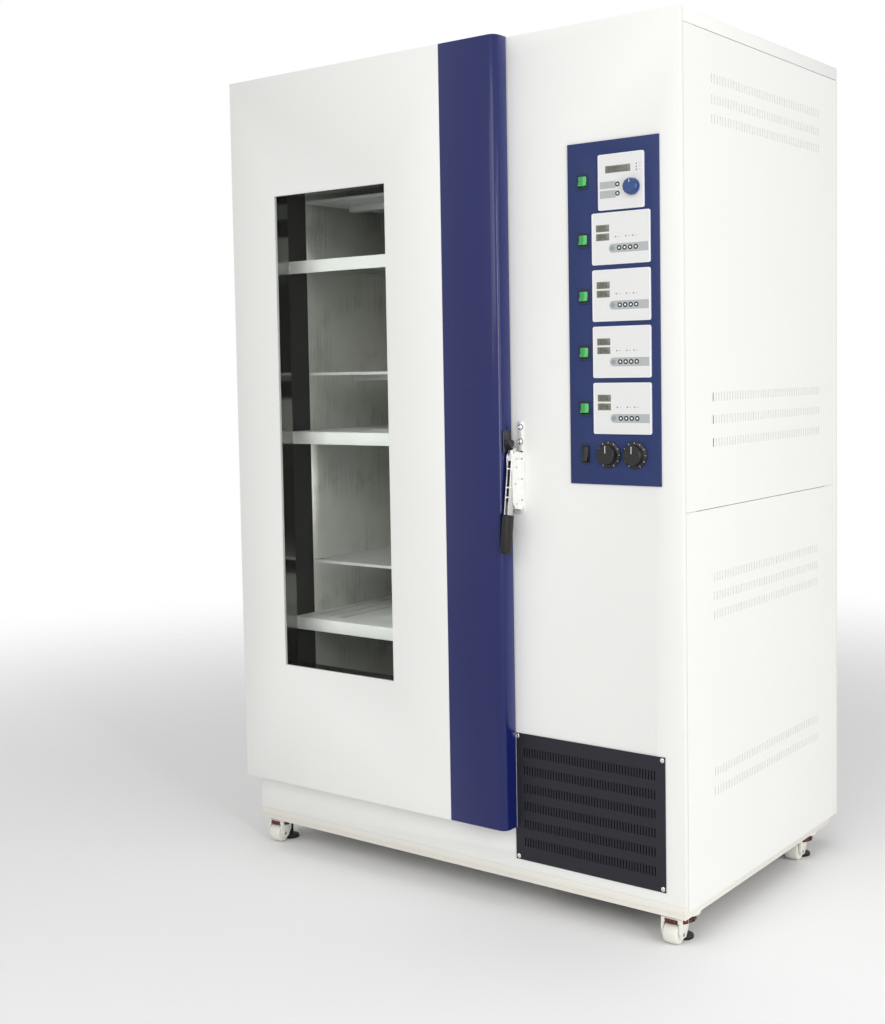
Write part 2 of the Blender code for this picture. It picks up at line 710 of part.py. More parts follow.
def right_panels():
    spans = {
        "right_upper_panel": (PANEL_SEAM_Z + SEAM / 2, SIDE_PANEL_TOP, LOUVRE_GROUPS[:2]),
        "right_lower_panel": (PANEL_UNDERSIDE, PANEL_SEAM_Z - SEAM / 2, LOUVRE_GROUPS[2:]),
    }
    for name, (bottom, top, groups) in spans.items():
        low = (RIGHT - SKIN, SIDE_PANEL_FRONT, bottom)
        panel = box(name, low, (RIGHT, SIDE_PANEL_REAR, top), "white_paint")
        centres = []
        for middle, rows in groups:
            for row in range(rows):
                z = middle + (row - (rows - 1) / 2) * LOUVRE_ROW_PITCH
                start = FRONT + LOUVRE_START
                centres += [(RIGHT, y, z) for y in spread(start, start + LOUVRE_LENGTH, LOUVRE_COLUMNS)]
        cut(panel, blocks(f"{name}_louvres", centres, (THROUGH, LOUVRE_SLOT_WIDTH, LOUVRE_SLOT_HEIGHT)))


def front_panel():
    """The cabinet's front sheet with returned edges and the three cut-outs."""
    bottom = FRAME_TOP + GAP
    front = open_pan("front_panel", (LEFT, FRONT, bottom), (RIGHT, FRONT + FRONT_FLANGE, CABINET_TOP),
                     SKIN, ("+Y", "-Z"), "white_paint")
    edge = LINER_SKIN + GAP
    mouth_low = (CHAMBER_LEFT - edge, FRONT - THROUGH, CHAMBER_FLOOR - edge)
    cut(front, box("mouth", mouth_low, (CHAMBER_RIGHT + edge, FRONT + THROUGH, CHAMBER_CEILING + edge)))
    control_low = (CONTROL_LEFT + CONTROL_RIM, FRONT - THROUGH, CONTROL_BOTTOM + CONTROL_RIM)
    control_high = (
        CONTROL_LEFT + CONTROL_WIDTH - CONTROL_RIM,
        FRONT + THROUGH,
        CONTROL_BOTTOM + CONTROL_HEIGHT - CONTROL_RIM,
    )
    cut(front, box("control_opening", control_low, control_high))
    grille_low = (GRILLE_LEFT + GRILLE_RIM, FRONT - THROUGH, GRILLE_BOTTOM + GRILLE_RIM)
    grille_high = (
        GRILLE_LEFT + GRILLE_WIDTH - GRILLE_RIM,
        FRONT + THROUGH,
        GRILLE_BOTTOM + GRILLE_HEIGHT - GRILLE_RIM,
    )
    cut(front, box("grille_opening", grille_low, grille_high))
    for side in (-1, 1):
        root, outer, inner = (side * (RIGHT - inset) for inset in (SKIN / 2, SKIN + GAP, 2 * SKIN + GAP))
        start, step, end = FRONT + SKIN / 2, FRONT + FRONT_FLANGE - GAP, SIDE_PANEL_FRONT + PANEL_LIP
        points = [(root, start), (root, step), (outer, step), (outer, end), (inner, end), (inner, start)]
        lip = outline("side_lip", points, PANEL_UNDERSIDE + CAP_SKIRT, CABINET_TOP - SKIN - GAP, "Z")
        join(front, lip)
    return front


def chamber_liner():
    """The stainless inside of the chamber, with shelf runners, the fan's shaft and the floor's drive hole."""
    low = (CHAMBER_LEFT - LINER_SKIN, FRONT, CHAMBER_FLOOR - LINER_SKIN)
    high = (CHAMBER_RIGHT + LINER_SKIN, CHAMBER_REAR + LINER_SKIN, CHAMBER_CEILING + LINER_SKIN)
    liner = open_pan("chamber_liner", low, high, LINER_SKIN, ("-Y",), "stainless")
    hole = BOSS_RADIUS + ORBIT_RADIUS + FLOOR_HOLE_CLEARANCE
    cut(liner, rod("drive_hole", (CHAMBER_X, PLATFORM_Y, CHAMBER_FLOOR), hole, THROUGH))
    for tier in range(3):
        top = shelf_top(tier) - SHELF_FLANGE - GAP
        for wall, inward in ((CHAMBER_LEFT, 1), (CHAMBER_RIGHT, -1)):
            xs = sorted((wall - inward * LINER_SKIN / 2, wall + inward * RUNNER_WIDTH))
            low = (xs[0], FRONT + SHELF_SETBACK + 2 * SHELF_SHEET, top - RUNNER_HEIGHT)
            join(liner, box("runner", low, (xs[1], FRONT + SHELF_SETBACK + SHELF_DEPTH, top)))
    shaft_length = DUCT_DEPTH / 2 + LINER_SKIN
    shaft = rod("fan_shaft", (CHAMBER_X, CHAMBER_REAR + LINER_SKIN / 2 - shaft_length / 2, fan_height()),
                FAN_SHAFT_RADIUS, shaft_length, axis="Y", sides=12)
    return join(liner, shaft)


def fan_height():
    return (DUCT_BOTTOM + DUCT_TOP) / 2


def insulation_jacket():
    """The foam round the liner, open at the front, with a pocket through its floor for the lowest drive."""
    low = (PANEL_LEFT_INNER, FRONT + SKIN + GAP, FRAME_TOP + GAP)
    high = (DOOR_RIGHT, CHAMBER_REAR + LINER_SKIN + WALL, CABINET_TOP - SKIN - GAP)
    jacket = box("insulation_jacket", low, high, "foam")
    edge = LINER_SKIN + GAP
    cavity_low = (CHAMBER_LEFT - edge, FRONT - THROUGH, CHAMBER_FLOOR - edge)
    cavity_high = (CHAMBER_RIGHT + edge, CHAMBER_REAR + edge, CHAMBER_CEILING + edge)
    cut(jacket, box("cavity", cavity_low, cavity_high))
    half = DRIVE_WIDTH / 2 + CRANK_CLEARANCE
    pocket_low = (CHAMBER_X - half, PLATFORM_Y - half, FRAME_TOP - THROUGH)
    pocket_high = (CHAMBER_X + half, PLATFORM_Y + half, CHAMBER_FLOOR + THROUGH)
    return cut(jacket, box("pocket", pocket_low, pocket_high))


def duct_cover():
    """The air duct's cover on the chamber's back wall, with an inlet behind the fan and slots up its face."""
    half = DUCT_WIDTH / 2
    low = (CHAMBER_X - half, CHAMBER_REAR - DUCT_DEPTH, DUCT_BOTTOM)
    cover = open_pan("duct_cover", low, (CHAMBER_X + half, CHAMBER_REAR - GAP, DUCT_TOP), DUCT_SHEET, ("+Y",),
                     "stainless")
    mouth = (CHAMBER_X, CHAMBER_REAR - DUCT_DEPTH, fan_height())
    cut(cover, rod("inlet", mouth, CIRCULATION_FAN_RADIUS, 2 * THROUGH, axis="Y"))
    centres = []
    reach = half - DUCT_SLOT_MARGIN
    for z in (DUCT_BOTTOM + DUCT_SLOT_INSET, DUCT_TOP - DUCT_SLOT_INSET):
        places = spread(CHAMBER_X - reach, CHAMBER_X + reach, DUCT_SLOT_COUNT)
        centres += [(x, CHAMBER_REAR - DUCT_DEPTH, z) for x in places]
    return cut(cover, blocks("outlets", centres, (DUCT_SLOT_WIDTH, 2 * THROUGH, DUCT_SLOT_HEIGHT)))


def fan(name, centre, radius, parent, paint):
    """A hub with pitched blades on a blind bore, turning about Y."""
    hub = rod(name, centre, FAN_HUB_RADIUS, FAN_HUB_LENGTH, axis="Y", sides=14, paint=paint)
    blade_length = radius - 0.6 * FAN_HUB_RADIUS
    for index in range(FAN_BLADES):
        shape = bmesh.new()
        size = Matrix.Diagonal((blade_length, FAN_BLADE_THICKNESS, FAN_BLADE_WIDTH, 1.0))
        pitched = Matrix.Rotation(math.radians(FAN_BLADE_PITCH), 4, "X")
        out = Matrix.Translation((0.6 * FAN_HUB_RADIUS + blade_length / 2, 0.0, 0.0))
        turn = Matrix.Rotation(index * math.tau / FAN_BLADES, 4, "Y")
        bmesh.ops.create_cube(shape, size=1.0, matrix=turn @ out @ pitched @ size)
        join(hub, add("blade", shape, centre))
    x, y, z = centre
    bore_length = FAN_HUB_LENGTH
    cut(hub, rod("bore", (x, y + bore_length / 2, z), FAN_SHAFT_RADIUS + GAP, bore_length, axis="Y", sides=12))
    return hang(hub, parent)


def fans():
    centre = (CHAMBER_X, CHAMBER_REAR - DUCT_DEPTH / 2 - FAN_MOUNT_GAP, fan_height())
    radius = CIRCULATION_FAN_RADIUS - FAN_TIP_GAP
    fan("circulation_fan", centre, radius, pivot("circulation_fan_axis", centre), "steel")
    centre = condenser_fan_centre()
    fan("condenser_fan", centre, CONDENSER_FAN_RADIUS, pivot("condenser_fan_axis", centre), "machine_black")


def condenser_middle():
    x = GRILLE_LEFT + GRILLE_WIDTH / 2 + GRILLE_RIM / 2
    return x, FRAME_TOP + GAP + TRAY_THICKNESS + CONDENSER_HEIGHT / 2


def condenser_fan_centre():
    x, z = condenser_middle()
    return (x, FRONT + CONDENSER_SETBACK + CONDENSER_DEPTH + FAN_CLEARANCE + FAN_HUB_LENGTH, z)


def condensing_unit():
    """Tray, finned condenser, fan motor on its post and compressor, brazed and bolted into one unit."""
    x, z = condenser_middle()
    half = CONDENSER_WIDTH / 2
    tray_bottom = FRAME_TOP + GAP
    start = FRONT + CONDENSER_SETBACK
    unit = box("condensing_unit", (x - half, start - TRAY_LIP, tray_bottom),
               (x + half, start + TRAY_DEPTH, tray_bottom + TRAY_THICKNESS), "machine_black")
    rear = start + CONDENSER_DEPTH
    block = box("condenser", (x - half, start, tray_bottom + TRAY_THICKNESS / 2),
                (x + half, rear, tray_bottom + TRAY_THICKNESS + CONDENSER_HEIGHT))
    join(unit, block)
    fin_gap = CONDENSER_WIDTH / CONDENSER_FIN_COUNT
    lowest = tray_bottom + TRAY_THICKNESS
    middle = lowest + CONDENSER_HEIGHT / 2
    centres = [(at, start, middle) for at in spread(x - half, x + half, CONDENSER_FIN_COUNT)]
    size = (0.7 * fin_gap, CONDENSER_DEPTH, 0.88 * CONDENSER_HEIGHT)
    cut(unit, blocks("fin_gaps", centres, size))
    fan_x, fan_y, fan_z = condenser_fan_centre()
    motor_front = fan_y + FAN_HUB_LENGTH / 2 + FAN_MOUNT_GAP
    motor_rear = motor_front + MOTOR_LENGTH
    post_low = (x - MOTOR_POST_WIDTH / 2, motor_front + MOTOR_POST_INSET, lowest - TRAY_THICKNESS / 2)
    join(
        unit,
        rod("motor", (x, (motor_front + motor_rear) / 2, z), MOTOR_RADIUS, MOTOR_LENGTH, axis="Y", sides=14),
        box("motor_post", post_low, (x + MOTOR_POST_WIDTH / 2, motor_rear - MOTOR_POST_INSET, z)),
    )
    shaft_start = fan_y + 2 * GAP
    shaft_length = motor_front + MOTOR_POST_INSET - shaft_start
    shaft_middle = (x, shaft_start + shaft_length / 2, z)
    join(unit, rod("motor_shaft", shaft_middle, FAN_SHAFT_RADIUS, shaft_length, axis="Y", sides=12))
    compressor_y = start + TRAY_DEPTH - COMPRESSOR_RADIUS - COMPRESSOR_INSET
    can = turned(
        "compressor",
        [
            (0.0, COMPRESSOR_HEIGHT),
            (0.55 * COMPRESSOR_RADIUS, COMPRESSOR_HEIGHT - 0.1 * COMPRESSOR_SHOULDER),
            (0.90 * COMPRESSOR_RADIUS, COMPRESSOR_HEIGHT - 0.5 * COMPRESSOR_SHOULDER),
            (COMPRESSOR_RADIUS, COMPRESSOR_HEIGHT - COMPRESSOR_SHOULDER),
            (COMPRESSOR_RADIUS, COMPRESSOR_BASE),
            (0.80 * COMPRESSOR_RADIUS, COMPRESSOR_FOOT),
            (0.80 * COMPRESSOR_RADIUS, -TRAY_THICKNESS / 2),
            (0.0, -TRAY_THICKNESS / 2),
        ],
        (x, compressor_y, lowest),
        sides=14,
    )
    return join(unit, can)


def shelves():
    """Shelf trays: a perforated deck with a deep front band and the tier's drive housing welded on top."""
    for tier in range(3):
        top = shelf_top(tier)
        left, right = CHAMBER_LEFT + SHELF_CLEARANCE, CHAMBER_RIGHT - SHELF_CLEARANCE
        front = FRONT + SHELF_SETBACK
        low, high = (left, front, top - SHELF_FLANGE), (right, front + SHELF_DEPTH, top)
        shelf = open_pan(f"shelf_{tier + 1}", low, high, SHELF_SHEET, ("-Z",), "white_paint")
        join(shelf, box("band", (left, front, top - BAND_HEIGHT), (right, front + SHELF_SHEET, top - GAP)))
        half = DRIVE_WIDTH / 2
        low = (CHAMBER_X - half, PLATFORM_Y - half, top - SHELF_SHEET / 2)
        join(shelf, box("drive", low, (CHAMBER_X + half, PLATFORM_Y + half, drive_top(tier)), bevel=0.006))
        cut(shelf, rod("bearing", (CHAMBER_X, PLATFORM_Y, drive_top(tier)), CRANK_SHAFT_RADIUS + GAP,
                       2 * (CRANK_SHAFT_LENGTH + GAP), sides=16))
        centres = []
        reach = (SHELF_SLOT_COUNT - 0.5) * SHELF_SLOT_PITCH
        for start in (left + SHELF_SLOT_INSET, right - SHELF_SLOT_INSET - reach):
            for index in range(SHELF_SLOT_COUNT):
                x = start + index * SHELF_SLOT_PITCH + SHELF_SLOT_WIDTH / 2
                ends = (front + SHELF_SLOT_MARGIN, front + SHELF_DEPTH - SHELF_SLOT_MARGIN)
                centres += [(x, y, top) for y in spread(*ends, 2)]
        cut(shelf, blocks("deck_slots", centres, (SHELF_SLOT_WIDTH, SHELF_SLOT_LENGTH, THROUGH)))


def cranks_and_platforms():
    """Each tier's crank turns on its drive, and its platform's boss turns on the crank's pin."""
    for tier, height in enumerate(PLATFORM_HEIGHTS):
        shaft_top = drive_top(tier)
        axis = pivot(f"crank_axis_{tier + 1}", (CHAMBER_X, PLATFORM_Y, shaft_top))
        disc_bottom = shaft_top + CRANK_CLEARANCE
        disc_top = disc_bottom + CRANK_THICKNESS
        crank = rod(f"crank_{tier + 1}", (CHAMBER_X, PLATFORM_Y, (disc_bottom + disc_top) / 2), CRANK_RADIUS,
                    CRANK_THICKNESS, sides=20, paint="steel", origin=(CHAMBER_X, PLATFORM_Y, shaft_top))
        shaft_length = CRANK_SHAFT_LENGTH + CRANK_CLEARANCE + CRANK_THICKNESS / 2
        shaft_middle = disc_bottom + CRANK_THICKNESS / 2 - shaft_length / 2
        join(crank, rod("shaft", (CHAMBER_X, PLATFORM_Y, shaft_middle), CRANK_SHAFT_RADIUS, shaft_length,
                        sides=16))
        pin_x = CHAMBER_X + ORBIT_RADIUS
        pin_length = CRANK_PIN_LENGTH + CRANK_THICKNESS / 2
        pin_middle = disc_top - CRANK_THICKNESS / 2 + pin_length / 2
        join(crank, rod("pin", (pin_x, PLATFORM_Y, pin_middle), CRANK_PIN_RADIUS, pin_length, sides=16))
        relief = CRANK_RADIUS * 0.55
        side_cuts = blocks(
            "waist",
            [(CHAMBER_X + CRANK_RADIUS, PLATFORM_Y + side * CRANK_RADIUS, disc_bottom) for side in (-1, 1)],
            (2 * relief, 1.2 * relief, 4 * CRANK_THICKNESS),
        )
        cut(crank, side_cuts)
        hang(crank, axis)
        boss_axis = pivot(f"platform_axis_{tier + 1}", (pin_x, PLATFORM_Y, disc_top), axis)
        platform(tier, height, disc_top, boss_axis)


def platform(tier, height, disc_top, axis):
    """A drilled alloy plate on two carrier bars, with a boss that turns on the crank's pin."""
    x, y = CHAMBER_X + ORBIT_RADIUS, PLATFORM_Y
    half_width, half_depth = PLATFORM_WIDTH / 2, PLATFORM_DEPTH / 2
    under = height - PLATFORM_THICKNESS
    low, high = (x - half_width, y - half_depth, under), (x + half_width, y + half_depth, height)
    plate = box(f"platform_{tier + 1}", low, high, "platform_alloy", origin=(x, y, disc_top))
    half_bar = half_width - CARRIER_BAR_INSET
    for side in (-1, 1):
        bar_y = y + side * half_depth / 2
        low = (x - half_bar, bar_y - CARRIER_BAR_WIDTH / 2, under - CARRIER_BAR_HEIGHT)
        high = (x + half_bar, bar_y + CARRIER_BAR_WIDTH / 2, under + WELD)
        join(plate, box("carrier_bar", low, high))
    boss_bottom = disc_top + CRANK_CLEARANCE
    boss_length = under + WELD - boss_bottom
    join(plate, rod("boss", (x, y, boss_bottom + boss_length / 2), BOSS_RADIUS, boss_length, sides=16))
    bore_top = disc_top + CRANK_PIN_LENGTH + GAP
    bore_length = bore_top - boss_bottom + THROUGH
    bore_middle = (x, y, bore_top - bore_length / 2)
    cut(plate, rod("boss_bore", bore_middle, CRANK_PIN_RADIUS + GAP, bore_length, sides=16))
    inset = PLATFORM_HOLE_INSET
    centres = [
        (hole_x, hole_y, height)
        for hole_x in spread(x - half_width + inset, x + half_width - inset, PLATFORM_COLUMNS)
        for hole_y in spread(y - half_depth, y + half_depth, PLATFORM_ROWS)
    ]
    cut(plate, bores("platform_holes", centres, PLATFORM_HOLE, 3 * PLATFORM_THICKNESS))
    return hang(plate, axis)


def control_panel():
    """The blue plate with the switch bezels and boxes, and the cut-outs that the modules sit in."""
    low = (CONTROL_LEFT, FRONT - GAP - CONTROL_PLATE, CONTROL_BOTTOM)
    high = (CONTROL_LEFT + CONTROL_WIDTH, FRONT - GAP, CONTROL_BOTTOM + CONTROL_HEIGHT)
    plate = box("control_panel", low, high, "panel_blue")
    for x, z, width, height in module_places():
        half_width = width / 2 - MODULE_BODY_INSET + GAP
        half_height = height / 2 - MODULE_BODY_INSET + GAP
        cut(plate, box("module_opening", (x - half_width, FRONT - THROUGH, z - half_height),
                       (x + half_width, FRONT + THROUGH, z + half_height)))
    for x, z, bezel, rocker in switch_places():
        low = (x - bezel[0] / 2, FRONT - GAP - CONTROL_PLATE - BEZEL_PROUD, z - bezel[1] / 2)
        join(plate, box("bezel", low, (x + bezel[0] / 2, FRONT + SWITCH_BOX_DEPTH, z + bezel[1] / 2)))
        half_width = rocker[0] / 2 + GAP
        half_height = rocker_sweep(rocker[1]) + GAP
        pocket_rear = FRONT + SWITCH_BOX_DEPTH - SKIN
        cut(plate, box("pocket", (x - half_width, FRONT - 2 * THROUGH, z - half_height),
                       (x + half_width, pocket_rear, z + half_height)))
    for x in DIAL_XS:
        place = (x, FRONT, LOWER_ROW_Z)
        cut(plate, rod("spindle_hole", place, SPINDLE_RADIUS + GAP, 2 * THROUGH, axis="Y", sides=12))
    return plate


def module_places():
    """(x, z, width, height) of the chamber module and then the four tier modules, top to bottom."""
    yield MAIN_MODULE_X, MAIN_MODULE_Z, MAIN_MODULE_WIDTH, MAIN_MODULE_HEIGHT
    for tier in range(4):
        yield TIER_MODULE_X, TIER_MODULE_Z - tier * TIER_MODULE_PITCH, TIER_MODULE_WIDTH, TIER_MODULE_HEIGHT


def switch_places():
    """(x, z, bezel size, rocker size) of the five green switches and then the black lamp switch."""
    green = ((BEZEL_WIDTH, BEZEL_HEIGHT), (SWITCH_WIDTH, SWITCH_HEIGHT))
    yield SWITCH_X, MAIN_SWITCH_Z, *green
    for tier in range(4):
        yield SWITCH_X, TIER_MODULE_Z - tier * TIER_MODULE_PITCH, *green
    yield SWITCH_X, LOWER_ROW_Z, (LAMP_BEZEL_WIDTH, LAMP_BEZEL_HEIGHT), (LAMP_SWITCH_WIDTH, LAMP_SWITCH_HEIGHT)


def rocker_sweep(height):
    """Half the height that a tilted rocker needs in its pocket."""
    tilt = math.radians(SWITCH_TILT)
    return height / 2 * math.cos(tilt) + SWITCH_REACH * math.sin(tilt)


def rockers():
    """Each rocker is tilted about its own middle and tips over to the other side."""
    names = ["main_switch", *(f"tier_switch_{tier + 1}" for tier in range(4)), "lamp_switch"]
    for name, (x, z, _, (width, height)) in zip(names, switch_places()):
        centre = Vector((x, switch_axis_y(), z))
        paint = "black_plastic" if name == "lamp_switch" else "green_plastic"
        half, reach = height / 2, SWITCH_REACH
        waist = reach * 0.62
        side = [(-reach, -half), (-waist, 0.0), (-reach, half), (0.35 * reach, half), (0.35 * reach, -half)]
        points = [(centre.y + y, centre.z + up) for y, up in side]
        rocker = outline(name, points, x - width / 2, x + width / 2, "X", paint, origin=centre)
        rocker.rotation_euler = (math.radians(-SWITCH_TILT), 0.0, 0.0)
        hang(rocker, pivot(f"{name}_axis", centre))


def switch_axis_y():
    return FRONT - GAP - CONTROL_PLATE - BEZEL_PROUD + SWITCH_AXIS_SINK


def modules():
    """Snap-in controller modules: a face plate over the panel and a body through its opening."""
    names = ["chamber_controller", *(f"tier_controller_{tier + 1}" for tier in range(4))]
    plate_front = FRONT - GAP - CONTROL_PLATE
    for name, (x, z, width, height) in zip(names, module_places()):
        module = box(name, (x - width / 2, plate_front - GAP - MODULE_PROUD, z - height / 2),
                     (x + width / 2, plate_front - GAP, z + height / 2), "module_plastic", bevel=0.0012)
        half_width = width / 2 - MODULE_BODY_INSET
        half_height = height / 2 - MODULE_BODY_INSET
        join(module, box("body", (x - half_width, plate_front - GAP - 0.001, z - half_height),
                         (x + half_width, FRONT + MODULE_BODY_DEPTH, z + half_height)))
        if name == "chamber_controller":
            cut(module, rod("spindle_bore", (KNOB_X, module_front(), KNOB_Z), SPINDLE_RADIUS + GAP,
                            2 * (SPINDLE_LENGTH + GAP), axis="Y", sides=12))


def module_front():
    return FRONT - 2 * GAP - CONTROL_PLATE - MODULE_PROUD


def speed_knob():
    """A blue set knob on its spindle in the chamber module."""
    centre = (KNOB_X, module_front() - GAP, KNOB_Z)
    profile = [
        (0.0, KNOB_LENGTH),
        (0.80 * KNOB_RADIUS, KNOB_LENGTH),
        (0.92 * KNOB_RADIUS, KNOB_LENGTH - 0.0015),
        (KNOB_RADIUS, 0.002),
        (KNOB_RADIUS, 0.0),
        (SPINDLE_RADIUS, 0.0),
        (SPINDLE_RADIUS, -SPINDLE_LENGTH),
        (0.0, -SPINDLE_LENGTH),
    ]
    knob = turned("setting_knob", profile, centre, axis="Y", sides=16, paint="knob_blue")
    hang(knob, pivot("setting_knob_axis", centre))


def dials():
    """Two black skirted dials, each on a spindle through the plate."""
    front = FRONT - 2 * GAP - CONTROL_PLATE
    for index, x in enumerate(DIAL_XS):
        centre = (x, front, LOWER_ROW_Z)
        profile = [
            (0.0, DIAL_LENGTH),
            (DIAL_RADIUS - 0.0015, DIAL_LENGTH),
            (DIAL_RADIUS, DIAL_LENGTH - 0.0015),
            (DIAL_RADIUS + 0.001, DIAL_SKIRT_THICKNESS),
            (DIAL_SKIRT_RADIUS, DIAL_SKIRT_THICKNESS - 0.001),
            (DIAL_SKIRT_RADIUS, 0.0),
            (SPINDLE_RADIUS, 0.0),
            (SPINDLE_RADIUS, -SPINDLE_LENGTH),
            (0.0, -SPINDLE_LENGTH),
        ]
        dial = turned(f"limit_dial_{index + 1}", profile, centre, axis="Y", sides=16, paint="black_plastic")
        hang(dial, pivot(f"limit_dial_axis_{index + 1}", centre))


def front_grille():
    """A slotted plate over the machine compartment's opening, held by four dome screws."""
    rear = FRONT - GAP
    front = rear - GRILLE_THICKNESS
    right, top = GRILLE_LEFT + GRILLE_WIDTH, GRILLE_BOTTOM + GRILLE_HEIGHT
    grille = box("front_grille", (GRILLE_LEFT, front, GRILLE_BOTTOM), (right, rear, top), "dark_paint")
    centres = [
        (x, FRONT, z)
        for z in spread(GRILLE_BOTTOM + GRILLE_RIM, top - GRILLE_RIM, GRILLE_ROWS)
        for x in spread(GRILLE_LEFT + GRILLE_RIM, right - GRILLE_RIM, GRILLE_COLUMNS)
    ]
    cut(grille, blocks("grille_slots", centres, (GRILLE_SLOT_WIDTH, 2 * THROUGH, GRILLE_SLOT_HEIGHT)))
    for x in (GRILLE_LEFT + GRILLE_SCREW_INSET, right - GRILLE_SCREW_INSET):
        for z in (GRILLE_BOTTOM + GRILLE_SCREW_INSET, top - GRILLE_SCREW_INSET):
            join(grille, rod("screw", (x, front, z), GRILLE_SCREW_RADIUS, GRILLE_THICKNESS, axis="Y", sides=8))
    return grille


def ring_block(name, low, high, width, paint=None):
    """A rectangular frame: a block with a window that leaves width all round, through Y."""
    frame = box(name, low, high, paint)
    window_low = (low[0] + width, low[1] - THROUGH, low[2] + width)
    window = box(f"{name}_window", window_low, (high[0] - width, high[1] + THROUGH, high[2] - width))
    return cut(frame, window)


def gasket_corners(grow=0.0):
    outer = GASKET_MARGIN + GASKET_WIDTH + grow
    rear = FRONT - GAP
    low = (CHAMBER_LEFT - outer, rear - GASKET_DEPTH, CHAMBER_FLOOR - outer)
    return low, (CHAMBER_RIGHT + outer, rear, CHAMBER_CEILING + outer)


def gasket_groove():
    """The cutter that clears the seal from the core and from the two covers' flanges."""
    low, high = gasket_corners(grow=GAP)
    return ring_block("gasket_groove", (low[0], low[1] - GAP, low[2]), high, GASKET_WIDTH + 2 * GAP)


def door():
    """The door: a white pan and a blue edge cover over a foam core, with window, seal and strike."""
    axis = pivot("door_axis", (HINGE_X, HINGE_Y, CABINET_TOP / 2))
    front, rear = FRONT - DOOR_FRONT, FRONT - DOOR_GAP
    window_left = LEFT + WINDOW_MARGIN
    window_right = window_left + WINDOW_WIDTH

    shell_high = (COVER_LEFT - COVER_SEAM, rear, CABINET_TOP)
    shell = open_pan("door_shell", (LEFT, front, DOOR_BOTTOM), shell_high, SKIN, ("+Y",), "white_paint")
    window_low = (window_left, front - THROUGH, WINDOW_BOTTOM)
    cut(shell, box("window", window_low, (window_right, front + THROUGH, WINDOW_TOP)), gasket_groove())
    for height in HINGE_HEIGHTS:
        join(shell, *moving_leaf(height))
        cut(shell, rod("pin_bore", (HINGE_X, HINGE_Y, height), PIN_RADIUS + GAP, 2 * KNUCKLE_LENGTH, sides=10))
    hang(shell, axis)

    cover = open_pan("door_edge_cover", (COVER_LEFT, front, DOOR_BOTTOM), (DOOR_RIGHT, rear, CABINET_TOP), SKIN,
                     ("+Y",), "blue_paint", radius=EDGE_RADIUS)
    hang(cut(cover, gasket_groove()), axis)

    hang(door_core(window_left, window_right, front, rear), axis)

    pane_front = front + SKIN + GAP
    pane_low = (window_left - PANE_LAP, pane_front, WINDOW_BOTTOM - PANE_LAP)
    pane_high = (window_right + PANE_LAP, pane_front + PANE_THICKNESS, WINDOW_TOP + PANE_LAP)
    hang(box("window_pane", pane_low, pane_high, "glass"), axis)

    low, high = gasket_corners()
    hang(ring_block("door_gasket", low, high, GASKET_WIDTH, "black_rubber"), axis)
    hang(door_strike(), axis)


def door_core(window_left, window_right, front, rear):
    """The door's foam core with its inner face: it fills both covers and holds the pane and the seal."""
    edge = SKIN + GAP
    low = (LEFT + edge, front + edge, DOOR_BOTTOM + edge)
    seam_low = COVER_LEFT - COVER_SEAM - SKIN - GAP
    core = box("door_core", low, (seam_low, rear - GAP, CABINET_TOP - edge), "foam")
    cover_low = (COVER_LEFT + edge, front + EDGE_RADIUS, DOOR_BOTTOM + edge)
    join(core, box("edge_core", cover_low, (DOOR_RIGHT - edge, rear - GAP, CABINET_TOP - edge)))
    back_low = (LEFT + edge, rear - GAP - SKIN, DOOR_BOTTOM + edge)
    seam_clear = box("seam_slot", (seam_low - 0.001, front - THROUGH, DOOR_BOTTOM - THROUGH),
                     (COVER_LEFT + edge + 0.001, rear + GAP, CABINET_TOP + THROUGH))
    cut(core, seam_clear)
    join(core, box("inner_face", (LEFT, rear + GAP, DOOR_BOTTOM), (DOOR_RIGHT, rear + GAP + SKIN, CABINET_TOP)))
    join(core, box("inner_face_root", back_low, (seam_low - 0.002, rear + GAP + SKIN / 2, CABINET_TOP - edge)))
    join(core, box("edge_face_root", (COVER_LEFT + edge + 0.002, rear - GAP - SKIN, DOOR_BOTTOM + edge),
                   (DOOR_RIGHT - edge, rear + GAP + SKIN / 2, CABINET_TOP - edge)))
    opening_low = (window_left, front - THROUGH, WINDOW_BOTTOM)
    cut(core, box("core_window", opening_low, (window_right, rear + THROUGH, WINDOW_TOP)))
    lap = PANE_LAP + GAP
    rebate_low = (window_left - lap, front - THROUGH, WINDOW_BOTTOM - lap)
    rebate_high = (window_right + lap, front + SKIN + GAP + PANE_THICKNESS + GAP, WINDOW_TOP + lap)
    cut(core, box("pane_rebate", rebate_low, rebate_high))
    return cut(core, gasket_groove())


def moving_leaf(height):
    """A moving hinge leaf on the door's left flange, with its middle knuckle."""
    half = 0.5 * KNUCKLE_LENGTH - GAP
    leaf_half = 1.5 * KNUCKLE_LENGTH
    yield box("leaf", (LEFT - LEAF_THICKNESS, HINGE_Y - LEAF_WIDTH, height - leaf_half),
              (LEFT + SKIN / 2, HINGE_Y - KNUCKLE_RADIUS - 2 * GAP, height + leaf_half))
    yield box("leaf_tongue", (LEFT - LEAF_THICKNESS, HINGE_Y - KNUCKLE_RADIUS - 4 * GAP, height - half),
              (LEFT + SKIN / 2, HINGE_Y - SKIN / 2, height + half))
    yield rod("knuckle", (HINGE_X, HINGE_Y, height), KNUCKLE_RADIUS, 2 * half, sides=12)
    yield box("knuckle_root", (HINGE_X, HINGE_Y - KNUCKLE_RADIUS + GAP, height - half),
              (LEFT + SKIN / 2, HINGE_Y - SKIN / 2, height + half))


